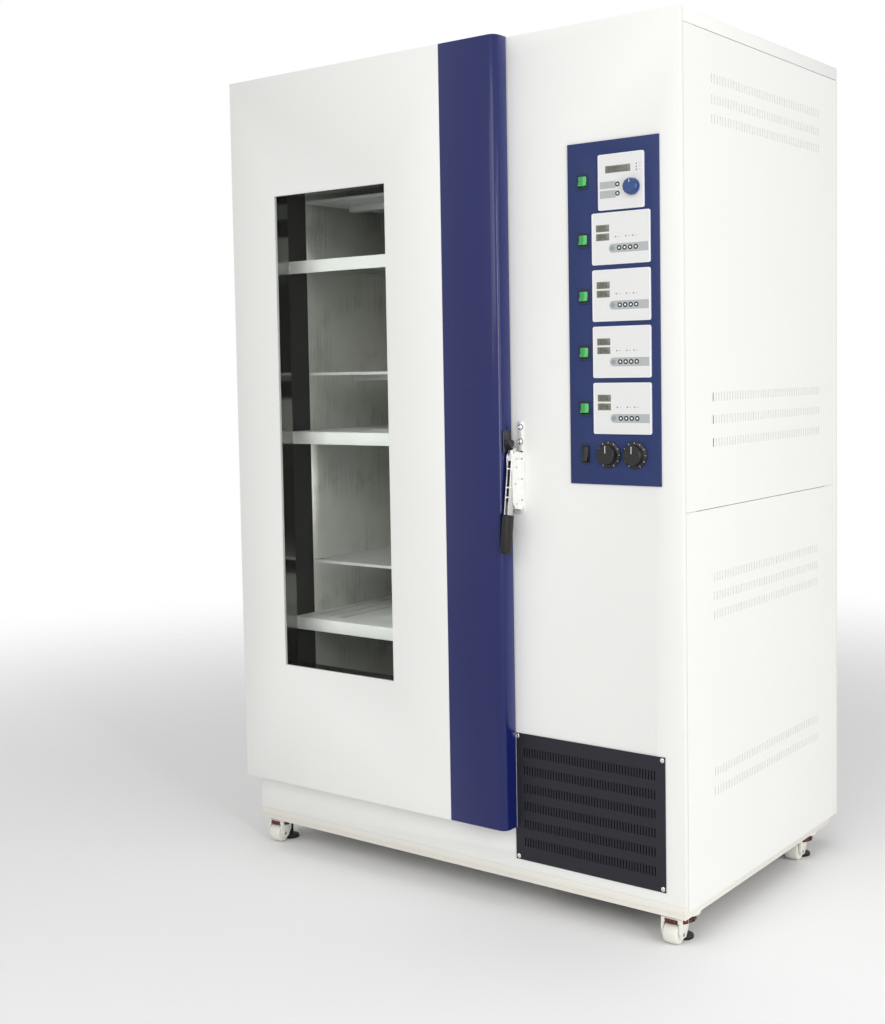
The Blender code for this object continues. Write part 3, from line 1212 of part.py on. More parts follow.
def door_strike():
    """A plate on the door's side with the roller that the latch lever's cam bears on."""
    side = DOOR_RIGHT + GAP
    y = FRONT - ROLLER_OUT
    low = (side, y - STRIKE_DEPTH / 2, ROLLER_Z - STRIKE_HEIGHT * 0.4)
    high = (side + STRIKE_PLATE, y + STRIKE_DEPTH / 2, ROLLER_Z + STRIKE_HEIGHT * 0.6)
    strike = box("door_strike", low, high, "chrome", bevel=0.0008)
    roller_length = ROLLER_WIDTH + STRIKE_PLATE / 2
    roller_x = side + STRIKE_PLATE / 2 + roller_length / 2
    roller_middle = (roller_x, y, ROLLER_Z)
    return join(strike, rod("roller", roller_middle, ROLLER_RADIUS, roller_length, axis="X", sides=16))


def latch():
    """The lever latch: a flanged channel on the cabinet, and a lever with a grip that swings out and up."""
    front = FRONT - GAP
    face = front - LATCH_PLATE
    right = LATCH_LEFT + LATCH_WIDTH
    flange_low = (LATCH_LEFT, face, LATCH_BOTTOM)
    bracket = box("latch_bracket", flange_low, (right, front, LATCH_TOP), "chrome", bevel=0.0006)
    channel_right = LATCH_LEFT + LATCH_CHANNEL_WIDTH
    reach = FRONT - LATCH_CHEEK_REACH
    for x in (LATCH_LEFT, channel_right - LATCH_CHEEK):
        points = [
            (face + 0.001, LATCH_BOTTOM + 0.010),
            (reach + 0.008, LATCH_BOTTOM + 0.016),
            (reach, LATCH_BOTTOM + 0.030),
            (reach, LATCH_TOP - 0.010),
            (reach + 0.010, LATCH_TOP - 0.001),
            (face + 0.001, LATCH_TOP - 0.001),
        ]
        join(bracket, outline("cheek", points, x, x + LATCH_CHEEK, "X"))
    keeper_x = right - KEEPER_WIDTH / 2
    join(bracket, box("keeper", (keeper_x - KEEPER_WIDTH / 2, face, LATCH_TOP - 0.004),
                      (keeper_x + KEEPER_WIDTH / 2, front, KEEPER_TOP)))
    for z in KEEPER_BOLT_HEIGHTS:
        join(bracket, rod("bolt", (keeper_x, face - KEEPER_BOLT_LENGTH / 2 + 0.001, z), KEEPER_BOLT_RADIUS,
                          KEEPER_BOLT_LENGTH, axis="Y", sides=6))
    lever_x = LATCH_LEFT + LATCH_CHANNEL_WIDTH / 2
    centre = Vector((lever_x, FRONT - LEVER_PIVOT_OUT, LEVER_PIVOT_Z))
    pin_length = LATCH_CHANNEL_WIDTH - LATCH_CHEEK
    join(bracket, rod("lever_pin", centre, LEVER_PIN_RADIUS, pin_length, axis="X", sides=12))
    lever_and_grip(centre)


def lever_and_grip(centre):
    """A channel-section lever with a cam nose above its pivot, and the grip sleeved on its lower end."""
    axis = pivot("latch_lever_axis", centre)
    tilt = (math.radians(-LEVER_TILT), 0.0, 0.0)
    half_depth = LEVER_DEPTH / 2
    x0, x1 = centre.x - LEVER_WIDTH / 2, centre.x + LEVER_WIDTH / 2
    nose = [
        (half_depth * math.cos(angle), (LEVER_TOP_REACH - half_depth) + half_depth * math.sin(angle))
        for angle in (math.radians(step) for step in range(0, 181, 30))
    ]
    side = [(-half_depth, -LEVER_LENGTH), (half_depth, -LEVER_LENGTH), *nose]
    points = [(centre.y + y, centre.z + z) for y, z in side]
    lever = outline("latch_lever", points, x0, x1, "X", "chrome", origin=centre)
    trough_bottom = centre.z - LEVER_LENGTH + GRIP_LENGTH - TROUGH_LAP
    trough_low = (x0 + LEVER_SHEET, centre.y - half_depth - THROUGH, trough_bottom)
    trough_high = (x1 - LEVER_SHEET, centre.y + half_depth - LEVER_SHEET, centre.z - TROUGH_DROP)
    trough = box("trough", trough_low, trough_high, origin=centre)
    trough.rotation_euler = tilt
    cut(lever, trough)
    lever.rotation_euler = tilt
    cut(lever, rod("pin_bore", centre, LEVER_PIN_RADIUS + GAP, 2 * LEVER_WIDTH, axis="X", sides=16))
    hang(lever, axis)

    bottom = centre.z - LEVER_LENGTH - 0.006
    grip = box("latch_grip", (centre.x - GRIP_WIDTH / 2, centre.y - GRIP_DEPTH / 2, bottom),
               (centre.x + GRIP_WIDTH / 2, centre.y + GRIP_DEPTH / 2, bottom + GRIP_LENGTH), "black_rubber",
               origin=centre, bevel=0.004, segments=2)
    grip.rotation_euler = tilt
    socket_bottom = centre.z - LEVER_LENGTH - GRIP_GAP
    socket_low = (x0 - GRIP_GAP, centre.y - half_depth - GRIP_GAP, socket_bottom)
    socket_high = (x1 + GRIP_GAP, centre.y + half_depth + GRIP_GAP, centre.z)
    socket = box("grip_socket", socket_low, socket_high, origin=centre)
    socket.rotation_euler = tilt
    cut(grip, socket)
    hang(grip, axis)


def caster_places():
    """The swivel axes: front left, front right, rear left, rear right."""
    return [(x, y) for y in (FRONT + CASTER_FRONT, FRONT + CASTER_REAR) for x in (-CASTER_X, CASTER_X)]


def casters():
    for number, (x, y) in enumerate(caster_places(), start=1):
        caster(number, x, y)


def caster(number, x, y):
    """A swivel body with a wheel that trails to the front, and a screw foot on the swivel's axis."""
    top = FRAME_UNDERSIDE - GAP
    axis = pivot(f"caster_axis_{number}", (x, y, top))
    wheel_y, wheel_z = y - CASTER_TRAIL, WHEEL_RADIUS + WHEEL_CLEARANCE
    cap_bottom = top - CASTER_CAP_HEIGHT
    cap_middle = (x, y, top - CASTER_CAP_HEIGHT / 2)
    body = rod(f"caster_body_{number}", cap_middle, CASTER_CAP_RADIUS, CASTER_CAP_HEIGHT, sides=16,
               paint="ivory_plastic", origin=(x, y, top))
    inner_x = WHEEL_WIDTH / 2 + DIAL_RING_CLEARANCE
    outer_x = inner_x + FORK_CHEEK
    roof_rear = y - DIAL_RING_RADIUS - DIAL_RING_CLEARANCE
    roof_bottom = wheel_z + WHEEL_RADIUS + FORK_ROOF
    roof_front = wheel_y - WHEEL_RADIUS / 2
    roof_top = cap_bottom + CASTER_CAP_HEIGHT / 3
    join(body, box("roof", (x - outer_x, roof_front, roof_bottom), (x + outer_x, roof_rear, roof_top)))
    cheek_rear = y - math.sqrt(DIAL_RING_RADIUS**2 - inner_x**2) - 2 * DIAL_RING_CLEARANCE
    for side in (-1, 1):
        near, far = sorted((x + side * inner_x, x + side * (outer_x - GAP)))
        points = [
            (cheek_rear, roof_top - GAP),
            (cheek_rear, wheel_z + WHEEL_RADIUS / 2),
            (wheel_y + WHEEL_RADIUS / 2, wheel_z - WHEEL_RADIUS / 3),
            (wheel_y - WHEEL_RADIUS / 3, wheel_z - WHEEL_RADIUS / 3),
            (wheel_y - WHEEL_RADIUS * 0.6, wheel_z + WHEEL_RADIUS / 3),
            (roof_front + GAP, roof_top - GAP),
        ]
        join(body, outline("cheek", points, near, far, "X"))
    join(body, rod("axle", (x, wheel_y, wheel_z), AXLE_RADIUS, 2 * inner_x + FORK_CHEEK, axis="X", sides=10))
    cut(body, rod("stem_bore", (x, y, top), FOOT_STEM_RADIUS + GAP, 4 * CASTER_CAP_HEIGHT, sides=12))
    hang(body, axis)

    half_width, shoulder = WHEEL_WIDTH / 2, WHEEL_RADIUS - WHEEL_CHAMFER_DEPTH
    tread = half_width - WHEEL_CHAMFER_WIDTH
    wheel = turned(
        f"caster_wheel_{number}",
        [
            (AXLE_RADIUS + GAP, half_width),
            (shoulder, half_width),
            (WHEEL_RADIUS, tread),
            (WHEEL_RADIUS, -tread),
            (shoulder, -half_width),
            (AXLE_RADIUS + GAP, -half_width),
            (AXLE_RADIUS + GAP, half_width),
        ],
        (x, wheel_y, wheel_z),
        axis="X",
        sides=14,
        paint="ivory_plastic",
    )
    hang(wheel, pivot(f"wheel_axis_{number}", (x, wheel_y, wheel_z), axis))

    ring_top = cap_bottom - FOOT_TRAVEL - DIAL_RING_CLEARANCE
    ring_bottom = ring_top - DIAL_RING_HEIGHT
    foot = turned(
        f"levelling_foot_{number}",
        [
            (0.0, FRAME_UNDERSIDE + STEM_SOCKET_DEPTH - FOOT_TRAVEL - 2 * GAP),
            (FOOT_STEM_RADIUS, FRAME_UNDERSIDE + STEM_SOCKET_DEPTH - FOOT_TRAVEL - 2 * GAP),
            (FOOT_STEM_RADIUS, ring_top),
            (DIAL_RING_RADIUS, ring_top),
            (DIAL_RING_RADIUS, ring_bottom),
            (FOOT_STEM_RADIUS, ring_bottom),
            (FOOT_STEM_RADIUS, FOOT_PAD_HEIGHT),
            (FOOT_PAD_RADIUS, FOOT_PAD_HEIGHT - 0.003),
            (FOOT_PAD_RADIUS, 0.0),
            (0.0, 0.0),
        ],
        (x, y, 0.0),
        sides=12,
        paint="black_rubber",
    )
    hang(foot, pivot(f"foot_axis_{number}", (x, y, 0.0), axis))


def main():
    clear_scene()
    base_frame()
    side_casing()
    top_panel()
    right_panels()
    front_panel()
    chamber_liner()
    insulation_jacket()
    duct_cover()
    condensing_unit()
    fans()
    shelves()
    cranks_and_platforms()
    control_panel()
    modules()
    rockers()
    speed_knob()
    dials()
    front_grille()
    door()
    latch()
    casters()


main()
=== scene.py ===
"""Looks of a refrigerated shaking incubator: a floor cabinet with four shaken tiers behind one door.

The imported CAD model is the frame. Each sub-assembly is a class that holds its sizes in metres as
fields, builds the pieces that show with bmesh operators, dresses them in a finish and lets each
ride on its body.
"""

import json
import logging
import math
from dataclasses import dataclass
from enum import Enum
from typing import Callable, Optional, Sequence, Union

import bmesh
import bpy
from mathutils import Matrix, Vector


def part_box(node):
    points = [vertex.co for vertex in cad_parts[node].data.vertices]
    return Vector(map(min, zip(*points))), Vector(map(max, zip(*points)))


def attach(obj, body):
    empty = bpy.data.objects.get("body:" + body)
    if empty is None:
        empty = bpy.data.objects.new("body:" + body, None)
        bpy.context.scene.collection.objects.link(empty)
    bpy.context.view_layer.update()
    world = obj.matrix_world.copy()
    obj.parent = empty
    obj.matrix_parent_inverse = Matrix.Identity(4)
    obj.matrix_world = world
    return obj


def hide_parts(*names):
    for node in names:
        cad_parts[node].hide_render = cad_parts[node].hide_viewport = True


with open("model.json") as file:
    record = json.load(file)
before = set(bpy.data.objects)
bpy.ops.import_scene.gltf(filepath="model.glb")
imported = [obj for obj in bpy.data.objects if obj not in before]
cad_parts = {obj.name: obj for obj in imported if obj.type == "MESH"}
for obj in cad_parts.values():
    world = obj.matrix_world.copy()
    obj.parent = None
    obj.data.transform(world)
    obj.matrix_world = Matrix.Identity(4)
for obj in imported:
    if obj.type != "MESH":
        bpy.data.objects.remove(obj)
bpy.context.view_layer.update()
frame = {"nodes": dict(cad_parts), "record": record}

LOG = logging.getLogger("incubator")
Point = tuple[float, float, float]
Spot = tuple[float, float]
Colour = tuple[int, int, int]
Socket = Union[bpy.types.NodeSocket, float, Point]
Inputs = dict[Union[str, int], Socket]
BMesh = bmesh.types.BMesh

FRONT = -0.385
PANEL_FACE = FRONT - 0.0033
TIERS = (1, 2, 3, 4)
SHELVES = (1, 2, 3)
CASTERS = (1, 2, 3, 4)
SMOOTH_ANGLE = 35.0
FORWARD = (0, -1, 0)
GREY = (0.8, 0.8, 0.8, 1.0)
STREAK_ROUGHNESS = 0.25
BUMP_STRENGTH = 0.6
COAT_ROUGHNESS = 0.12
SHEEN_WEIGHT = 0.6
SHEEN_ROUGHNESS = 0.4


class Body(Enum):
    """The bodies that pieces ride on by a fixed name."""

    CABINET = "cabinet"
    DOOR = "door"
    LATCH = "latch"
    SETTING_KNOB = "setting_knob"


class Effect(Enum):
    """The shader node groups that materials share."""

    GRAIN = "fine_grain"
    MOTTLE = "tone_mottle"
    WEAR = "edge_wear"
    DUST = "settled_dust"
    BRUSH = "brushed_lines"


class Axis(Enum):
    """A direction of the frame."""

    X = 0
    Y = 1
    Z = 2


def linear(colour: Colour) -> tuple[float, float, float, float]:
    """Turns a screen colour of 0 to 255 into the linear colour that a shader takes."""
    shares = [value / 255 for value in colour]
    return (*(c / 12.92 if c <= 0.04045 else ((c + 0.055) / 1.055) ** 2.4 for c in shares), 1.0)


class Tree:
    """A node tree with short calls that add nodes and join their sockets."""

    def __init__(self, tree: bpy.types.NodeTree) -> None:
        """Takes the tree to work on."""
        self.tree = tree

    def feed(self, node: bpy.types.Node, inputs: Inputs) -> None:
        """Joins a node's inputs to outputs, or sets their own values.

        Args:
            node: the node.
            inputs: an output or a plain value for each input, by name or number.
        """
        for name, value in inputs.items():
            if isinstance(value, bpy.types.NodeSocket):
                self.tree.links.new(value, node.inputs[name])
            else:
                node.inputs[name].default_value = value

    def node(self, kind: str, inputs: Optional[Inputs] = None, **settings: object) -> bpy.types.Node:
        """Adds a node.

        Args:
            kind: the shader node's type name, without its prefix.
            inputs: values or outputs for its inputs.
            **settings: the node's own settings.

        Returns:
            The node.
        """
        made = self.tree.nodes.new(f"ShaderNode{kind}")
        for name, value in settings.items():
            setattr(made, name, value)
        self.feed(made, inputs or {})
        return made

    def maths(self, operation: str, first: Socket, second: Socket) -> bpy.types.NodeSocket:
        """Adds a Math node and gives its value."""
        return self.node("Math", {0: first, 1: second}, operation=operation).outputs[0]

    def blend(self, share: Socket, first: Socket, second: Socket) -> bpy.types.NodeSocket:
        """Mixes two colours by a share and gives the result."""
        return self.node("Mix", {0: share, 6: first, 7: second}, data_type="RGBA").outputs[2]

    def place(self) -> bpy.types.NodeSocket:
        """Gives the Object coordinates."""
        return self.node("TexCoord").outputs["Object"]

    def noise(self, scale: Socket, detail: float, vector: Optional[Socket] = None) -> bpy.types.NodeSocket:
        """Adds a noise on Object coordinates, or on a given vector, and gives its value."""
        wants = {"Vector": vector or self.place(), "Scale": scale, "Detail": detail}
        return self.node("TexNoise", wants).outputs["Fac"]


Group = tuple[Tree, Sequence[bpy.types.NodeSocket], bpy.types.Node]


def new_group(kind: Effect, inputs: dict[str, Socket], outputs: Sequence[str]) -> Group:
    """Starts a shader node group with named sockets.

    Args:
        kind: which effect it is.
        inputs: each input's default. Four numbers make a colour, three a vector, one a value.
        outputs: the outputs' names. Color is a colour and any other is a value.

    Returns:
        The tree, what its input node gives and its output node.
    """
    group = bpy.data.node_groups.new(kind.value, "ShaderNodeTree")
    for name, value in inputs.items():
        sort = {3: "Vector", 4: "Color"}[len(value)] if isinstance(value, tuple) else "Float"
        socket = group.interface.new_socket(name, in_out="INPUT", socket_type=f"NodeSocket{sort}")
        socket.default_value = value
    for name in outputs:
        sort = "Color" if name == "Color" else "Float"
        group.interface.new_socket(name, in_out="OUTPUT", socket_type=f"NodeSocket{sort}")
    given = group.nodes.new("NodeGroupInput")
    return Tree(group), given.outputs, group.nodes.new("NodeGroupOutput")


def grain_group() -> None:
    """Fine grain: the orange peel of paint and the bite of moulded plastic, as a height."""
    tree, given, made = new_group(Effect.GRAIN, {"Scale": 900.0, "Waviness": 0.4}, ["Height"])
    fine = tree.noise(given["Scale"], 3.0)
    broad = tree.noise(tree.maths("MULTIPLY", given["Scale"], 0.13), 1.0)
    share = tree.maths("MULTIPLY", broad, given["Waviness"])
    tree.feed(made, {"Height": tree.maths("ADD", fine, share)})


def mottle_group() -> None:
    """Tone mottle: a colour and a roughness that drift a little over the surface."""
    wants = {"Color": GREY, "Amount": 0.05, "Scale": 4.0, "Roughness": 0.5, "Spread": 0.1}
    tree, given, made = new_group(Effect.MOTTLE, wants, ["Color", "Roughness"])
    drift = tree.maths("SUBTRACT", tree.noise(given["Scale"], 4.0), 0.5)
    speck = tree.maths("SUBTRACT", tree.noise(tree.maths("MULTIPLY", given["Scale"], 60.0), 2.0), 0.5)
    both = tree.maths("ADD", drift, tree.maths("MULTIPLY", speck, 0.6))
    factor = tree.maths("ADD", 1.0, tree.maths("MULTIPLY", both, given["Amount"]))
    scaled = tree.node("VectorMath", operation="SCALE")
    tree.feed(scaled, {0: given["Color"], "Scale": factor})
    rough = tree.maths("ADD", given["Roughness"], tree.maths("MULTIPLY", both, given["Spread"]))
    tree.feed(made, {"Color": scaled.outputs[0], "Roughness": rough})


def wear_and_highlight_group() -> None:
    """Edge rubbing and painted highlight: a second colour on the edges. It is rubbing where it is darker than
    the finish and a painted edge highlight where it is lighter.
    """
    wants = {"Color": GREY, "Worn": (0.6, 0.6, 0.6, 1.0), "Amount": 0.3, "Width": 0.0012}
    tree, given, made = new_group(Effect.WEAR, wants, ["Color", "Mask"])
    eased = tree.node("Bevel", {"Radius": given["Width"]}, samples=4)
    true = tree.node("NewGeometry").outputs["Normal"]
    turn = tree.node("VectorMath", {0: eased.outputs[0], 1: true}, operation="DOT_PRODUCT")
    bend = tree.maths("MULTIPLY", tree.maths("SUBTRACT", 1.0, turn.outputs["Value"]), 7.0)
    patch = tree.node("MapRange", {0: tree.noise(70.0, 4.0), 1: 0.45, 2: 0.62})
    mask = tree.maths("MULTIPLY", tree.maths("MINIMUM", bend, 1.0), patch.outputs[0])
    mask = tree.maths("MULTIPLY", mask, given["Amount"])
    tree.feed(made, {"Color": tree.blend(mask, given["Color"], given["Worn"]), "Mask": mask})


def dust_group() -> None:
    """Settled dust: a thin pale film on what faces up."""
    wants = {"Color": GREY, "Dust": (0.5, 0.48, 0.45, 1.0), "Amount": 0.1, "Roughness": 0.5}
    tree, given, made = new_group(Effect.DUST, wants, ["Color", "Roughness"])
    parts = tree.node("SeparateXYZ", {0: tree.node("NewGeometry").outputs["Normal"]})
    up = tree.maths("MAXIMUM", parts.outputs[2], 0.0)
    patch = tree.maths("MULTIPLY", tree.noise(14.0, 5.0), 1.4)
    mask = tree.maths("MULTIPLY", tree.maths("MULTIPLY", up, patch), given["Amount"])
    rough = tree.maths("ADD", given["Roughness"], tree.maths("MULTIPLY", mask, 0.4))
    tree.feed(made, {"Color": tree.blend(mask, given["Color"], given["Dust"]), "Roughness": rough})


def brush_group() -> None:
    """Brushed lines: the fine streaks that rolling and brushing leave in metal."""
    tree, given, made = new_group(Effect.BRUSH, {"Stretch": (900.0, 900.0, 9.0)}, ["Height", "Streak"])
    drawn = tree.node("VectorMath", {0: tree.place(), 1: given["Stretch"]}, operation="MULTIPLY")
    lines = tree.noise(1.0, 3.0, drawn.outputs[0])
    tree.feed(made, {"Height": lines, "Streak": tree.maths("SUBTRACT", lines, 0.5)})


GROUPS: dict[Effect, Callable[[], None]] = {
    Effect.GRAIN: grain_group, Effect.MOTTLE: mottle_group, Effect.WEAR: wear_and_highlight_group,
    Effect.DUST: dust_group, Effect.BRUSH: brush_group,
}


def effect(tree: Tree, kind: Effect, **inputs: Socket) -> Sequence[bpy.types.NodeSocket]:
    """Places a shared effect in a material, building its group the first time.

    Args:
        tree: the material's tree.
        kind: the effect.
        **inputs: values or outputs for its inputs.

    Returns:
        The group's outputs.
    """
    if kind.value not in bpy.data.node_groups:
        GROUPS[kind]()
    node = tree.node("Group", node_tree=bpy.data.node_groups[kind.value])
    tree.feed(node, inputs)
    return node.outputs


@dataclass(frozen=True)
class Finish:
    """A surface finish: its slot in the record, its colour, its shine and how its surface is broken up."""

    slot: str
    colour: Colour
    roughness: float = 0.45
    metallic: float = 0.0
    specular: float = 0.3
    coat: float = 0.0
    grain_scale: float = 900.0
    grain_depth: float = 0.00004
    mottle: float = 0.05
    mottle_scale: float = 4.0
    spread: float = 0.12
    # The edge colour and its amount: rubbing where the colour is darker, a painted edge highlight where it is
    # lighter.
    worn: Optional[Colour] = None
    wear: float = 0.0
    dust: float = 0.0
    brushed: Optional[Point] = None
    sheen: Optional[Colour] = None

    def material(self, title: str) -> bpy.types.Material:
        """Builds the material.

        Args:
            title: its name.

        Returns:
            The material.
        """
        made = bpy.data.materials.new(title)
        made.use_nodes = True
        tree = Tree(made.node_tree)
        tone = effect(
            tree, Effect.MOTTLE, Color=linear(self.colour), Amount=self.mottle, Scale=self.mottle_scale,
            Roughness=self.roughness, Spread=self.spread,
        )
        colour, rough = tone["Color"], tone["Roughness"]
        # The edge colour is rubbing where it is darker than the finish and a painted edge highlight where it
        # is lighter.
        if self.wear:
            worn = linear(self.worn or self.colour)
            colour = effect(tree, Effect.WEAR, Color=colour, Worn=worn, Amount=self.wear)["Color"]
        if self.dust:
            film = effect(tree, Effect.DUST, Color=colour, Amount=self.dust, Roughness=rough)
            colour, rough = film["Color"], film["Roughness"]
        if self.brushed:
            lines = effect(tree, Effect.BRUSH, Stretch=self.brushed)
            height = lines["Height"]
            rough = tree.maths("ADD", rough, tree.maths("MULTIPLY", lines["Streak"], STREAK_ROUGHNESS))
        else:
            height = effect(tree, Effect.GRAIN, Scale=self.grain_scale)["Height"]
        bump = tree.node("Bump", {"Strength": BUMP_STRENGTH, "Distance": self.grain_depth, "Height": height})
        shader = made.node_tree.nodes["Principled BSDF"]
        tree.feed(shader, {
            "Base Color": colour, "Roughness": rough, "Normal": bump.outputs[0], "Metallic": self.metallic,
            "Specular IOR Level": self.specular, "Coat Weight": self.coat, "Coat Roughness": COAT_ROUGHNESS,
        })
        if self.sheen:
            tree.feed(shader, {
                "Sheen Weight": SHEEN_WEIGHT, "Sheen Roughness": SHEEN_ROUGHNESS,
                "Sheen Tint": linear(self.sheen),
            })
        self.extra(tree, shader)
        return made

    def extra(self, tree: Tree, shader: bpy.types.Node) -> None:
        """Adds what only some finishes have; a plain finish adds nothing."""


@dataclass(frozen=True)
class ClearFinish(Finish):
    """A see-through finish, which lets light through to what is behind it."""

    index: float = 1.12

    def extra(self, tree: Tree, shader: bpy.types.Node) -> None:
        """Makes the shader clear, and lets shadow rays pass."""
        shadow = tree.node("LightPath").outputs["Is Shadow Ray"]
        clear = tree.maths("SUBTRACT", 1.0, shadow)
        tree.feed(shader, {"Transmission Weight": 1.0, "IOR": self.index, "Alpha": clear})


class Finishes(Enum):
    """Every finish on the incubator, by its material's name."""

    # An edge colour lighter than its finish is a painted edge highlight; a darker one is rubbing.
    WHITE_PAINT = Finish("white_paint", (236, 236, 233), 0.46, grain_scale=700, mottle=0.035,
                         worn=(205, 205, 200), wear=0.25, dust=0.05)
    CREAM_PAINT = Finish("frame_paint", (231, 228, 219), 0.5, grain_scale=500, mottle=0.06,
                         worn=(170, 168, 160), wear=0.4, dust=0.08)
    BLUE_PAINT = Finish("blue_paint", (18, 27, 86), 0.3, specular=0.2, coat=0.4, sheen=(40, 80, 235),
                        grain_scale=500, grain_depth=0.000008, mottle=0.08, mottle_scale=2.0,
                        worn=(70, 84, 160), wear=0.1)
    PANEL_BLUE = Finish("panel_blue", (48, 60, 104), 0.42, specular=0.15, grain_scale=1100, mottle=0.06,
                        worn=(95, 105, 150), wear=0.2)
    DARK_PAINT = Finish("dark_paint", (40, 40, 47), 0.5, specular=0.2, grain_scale=1000, mottle=0.1,
                        worn=(80, 80, 84), wear=0.25, dust=0.15)
    STAINLESS = Finish("stainless", (202, 202, 195), 0.32, metallic=0.25, specular=0.5, mottle=0.3,
                       mottle_scale=9.0, spread=0.3, brushed=(420.0, 420.0, 6.0), grain_depth=0.00006)
    DUCT_COVER = Finish("stainless", (186, 184, 173), 0.4, metallic=0.2, mottle=0.3, mottle_scale=14.0,
                        spread=0.3, brushed=(420.0, 420.0, 6.0), grain_depth=0.00005)
    WALL_STRIP = Finish("black_plastic", (40, 40, 37), 0.5, specular=0.2, grain_scale=700, mottle=0.2)
    WINDOW_REVEAL = Finish("stainless", (112, 112, 108), 0.08, metallic=1.0, grain_scale=500,
                           grain_depth=0.00001, mottle=0.1, spread=0.1)
    SHELF_PAINT = Finish("white_paint", (232, 233, 230), 0.42, grain_scale=700, dust=0.06)
    PLATFORM_ALLOY = Finish("platform_alloy", (204, 205, 203), 0.5, metallic=0.3, mottle=0.06,
                            grain_scale=500, worn=(235, 235, 232), wear=0.4)
    # Painted light: pale sheets behind the side slots.
    LOUVRE_BACKING = Finish("white_paint", (226, 226, 223), 0.6, grain_scale=600)
    # Painted shade: the dark sheet behind the grille's slots.
    GRILLE_BACKING = Finish("dark_paint", (30, 30, 34), 0.8, specular=0.1, grain_scale=600, mottle=0.1)
    # Dark steel, partly painted shade: the door strike sits in shadow.
    DARK_STEEL = Finish("chrome", (62, 61, 68), 0.3, metallic=0.7, mottle=0.2, mottle_scale=50.0,
                        grain_depth=0.00001)
    ZINC_PLATE = Finish("chrome", (243, 243, 240), 0.22, metallic=0.35, specular=0.6, mottle=0.08,
                        mottle_scale=60.0, spread=0.3, grain_scale=1200, grain_depth=0.00001,
                        worn=(250, 250, 248), wear=0.3)
    CHROME = Finish("chrome", (216, 216, 214), 0.12, metallic=1.0, mottle_scale=40.0, spread=0.2,
                    grain_scale=1500, grain_depth=0.00001)
    STEEL = Finish("steel", (150, 150, 148), 0.35, metallic=0.9, mottle=0.15, mottle_scale=30.0,
                   grain_scale=800)
    MACHINE_BLACK = Finish("machine_black", (34, 34, 36), 0.5, mottle=0.2, mottle_scale=20.0, dust=0.3)
    DOOR_INNER_FACE = Finish("foam", (196, 197, 194), 0.5, mottle=0.08, grain_scale=600)
    BLACK_RUBBER = Finish("black_rubber", (26, 26, 25), 0.62, grain_depth=0.00008, mottle=0.2,
                          mottle_scale=30.0, dust=0.15)
    GRIP_VINYL = Finish("black_rubber", (24, 23, 21), grain_scale=1400, grain_depth=0.00006, mottle=0.2,
                        mottle_scale=40.0)
    BLACK_PLASTIC = Finish("black_plastic", (24, 24, 26), 0.36, specular=0.4, grain_scale=1600,
                           mottle=0.15, mottle_scale=30.0, worn=(60, 60, 62), wear=0.2)
    MODULE_PLASTIC = Finish("module_plastic", (233, 234, 236), 0.38, specular=0.4, grain_scale=1800,
                            grain_depth=0.00002, mottle=0.03)
    MEMBRANE = Finish("module_plastic", (228, 228, 226), 0.5, grain_scale=2500, grain_depth=0.00003,
                      mottle=0.03)
    LEGEND_GREY = Finish("module_plastic", (176, 181, 182), 0.48, grain_scale=2500, mottle=0.06,
                         mottle_scale=30.0)
    KEY_GREY = Finish("module_plastic", (150, 154, 154), grain_scale=2500)
    KEY_RING = Finish("black_plastic", (36, 37, 39), 0.4, grain_scale=2500, mottle=0.1)
    KEY_FACE = Finish("module_plastic", (240, 240, 240), 0.4, grain_scale=2500, mottle=0.03)
    DISPLAY_GLASS = Finish("black_plastic", (112, 114, 102), 0.16, specular=0.5, grain_scale=3000,
                           grain_depth=0.000005, mottle=0.12, mottle_scale=60.0)
    DISPLAY_SEGMENT = Finish("black_plastic", (74, 75, 66), 0.3)
    INDICATOR_LENS = Finish("black_plastic", (62, 58, 60), 0.2, specular=0.5, mottle=0.1,
                            mottle_scale=100.0)
    GREEN_PLASTIC = Finish("green_plastic", (16, 158, 66), 0.14, specular=0.6, coat=0.4,
                           grain_scale=1500, grain_depth=0.00001, mottle=0.08, mottle_scale=60.0)
    KNOB_BLUE = Finish("knob_blue", (30, 64, 122), 0.25, specular=0.45, coat=0.2, grain_scale=1500,
                       mottle=0.08, mottle_scale=40.0)
    IVORY_PLASTIC = Finish("ivory_plastic", (230, 228, 219), 0.4, specular=0.4, worn=(205, 200, 185),
                           wear=0.2, dust=0.1)
    RING_PRINT = Finish("black_plastic", (138, 40, 44), 0.5, mottle=0.08)
    MARK_WHITE = Finish("module_plastic", (226, 226, 222), 0.5, grain_scale=2000)
    GLASS = ClearFinish("glass", (244, 247, 244), 0.01, specular=0.1, mottle=0.0, spread=0.0,
                        grain_scale=40, grain_depth=0.000001)
    GASKET = Finish("black_rubber", (44, 44, 44), 0.6, grain_scale=700, mottle=0.1, dust=0.1)

    def material(self) -> bpy.types.Material:
        """Gives the finish's material, which is built the first time."""
        title = f"{self.name.lower()}_finish"
        return bpy.data.materials.get(title) or self.value.material(title)


def box(node: str) -> tuple[Vector, Vector, Vector]:
    """Gives a CAD node's lowest corner, its highest corner and its middle."""
    low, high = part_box(node)
    return low, high, (low + high) / 2


def shift(x: float, y: float, z: float) -> Matrix:
    """Gives a move."""
    return Matrix.Translation((x, y, z))


def new_object(name: str, part: BMesh) -> bpy.types.Object:
    """Puts a part, which is freed, into the scene as an object with smooth shading and sharp edges."""
    mesh = bpy.data.meshes.new(name)
    part.to_mesh(mesh)
    part.free()
    mesh.polygons.foreach_set("use_smooth", [True] * len(mesh.polygons))
    mesh.set_sharp_from_angle(angle=math.radians(SMOOTH_ANGLE))
    obj = bpy.data.objects.new(name, mesh)
    bpy.context.scene.collection.objects.link(obj)
    return obj


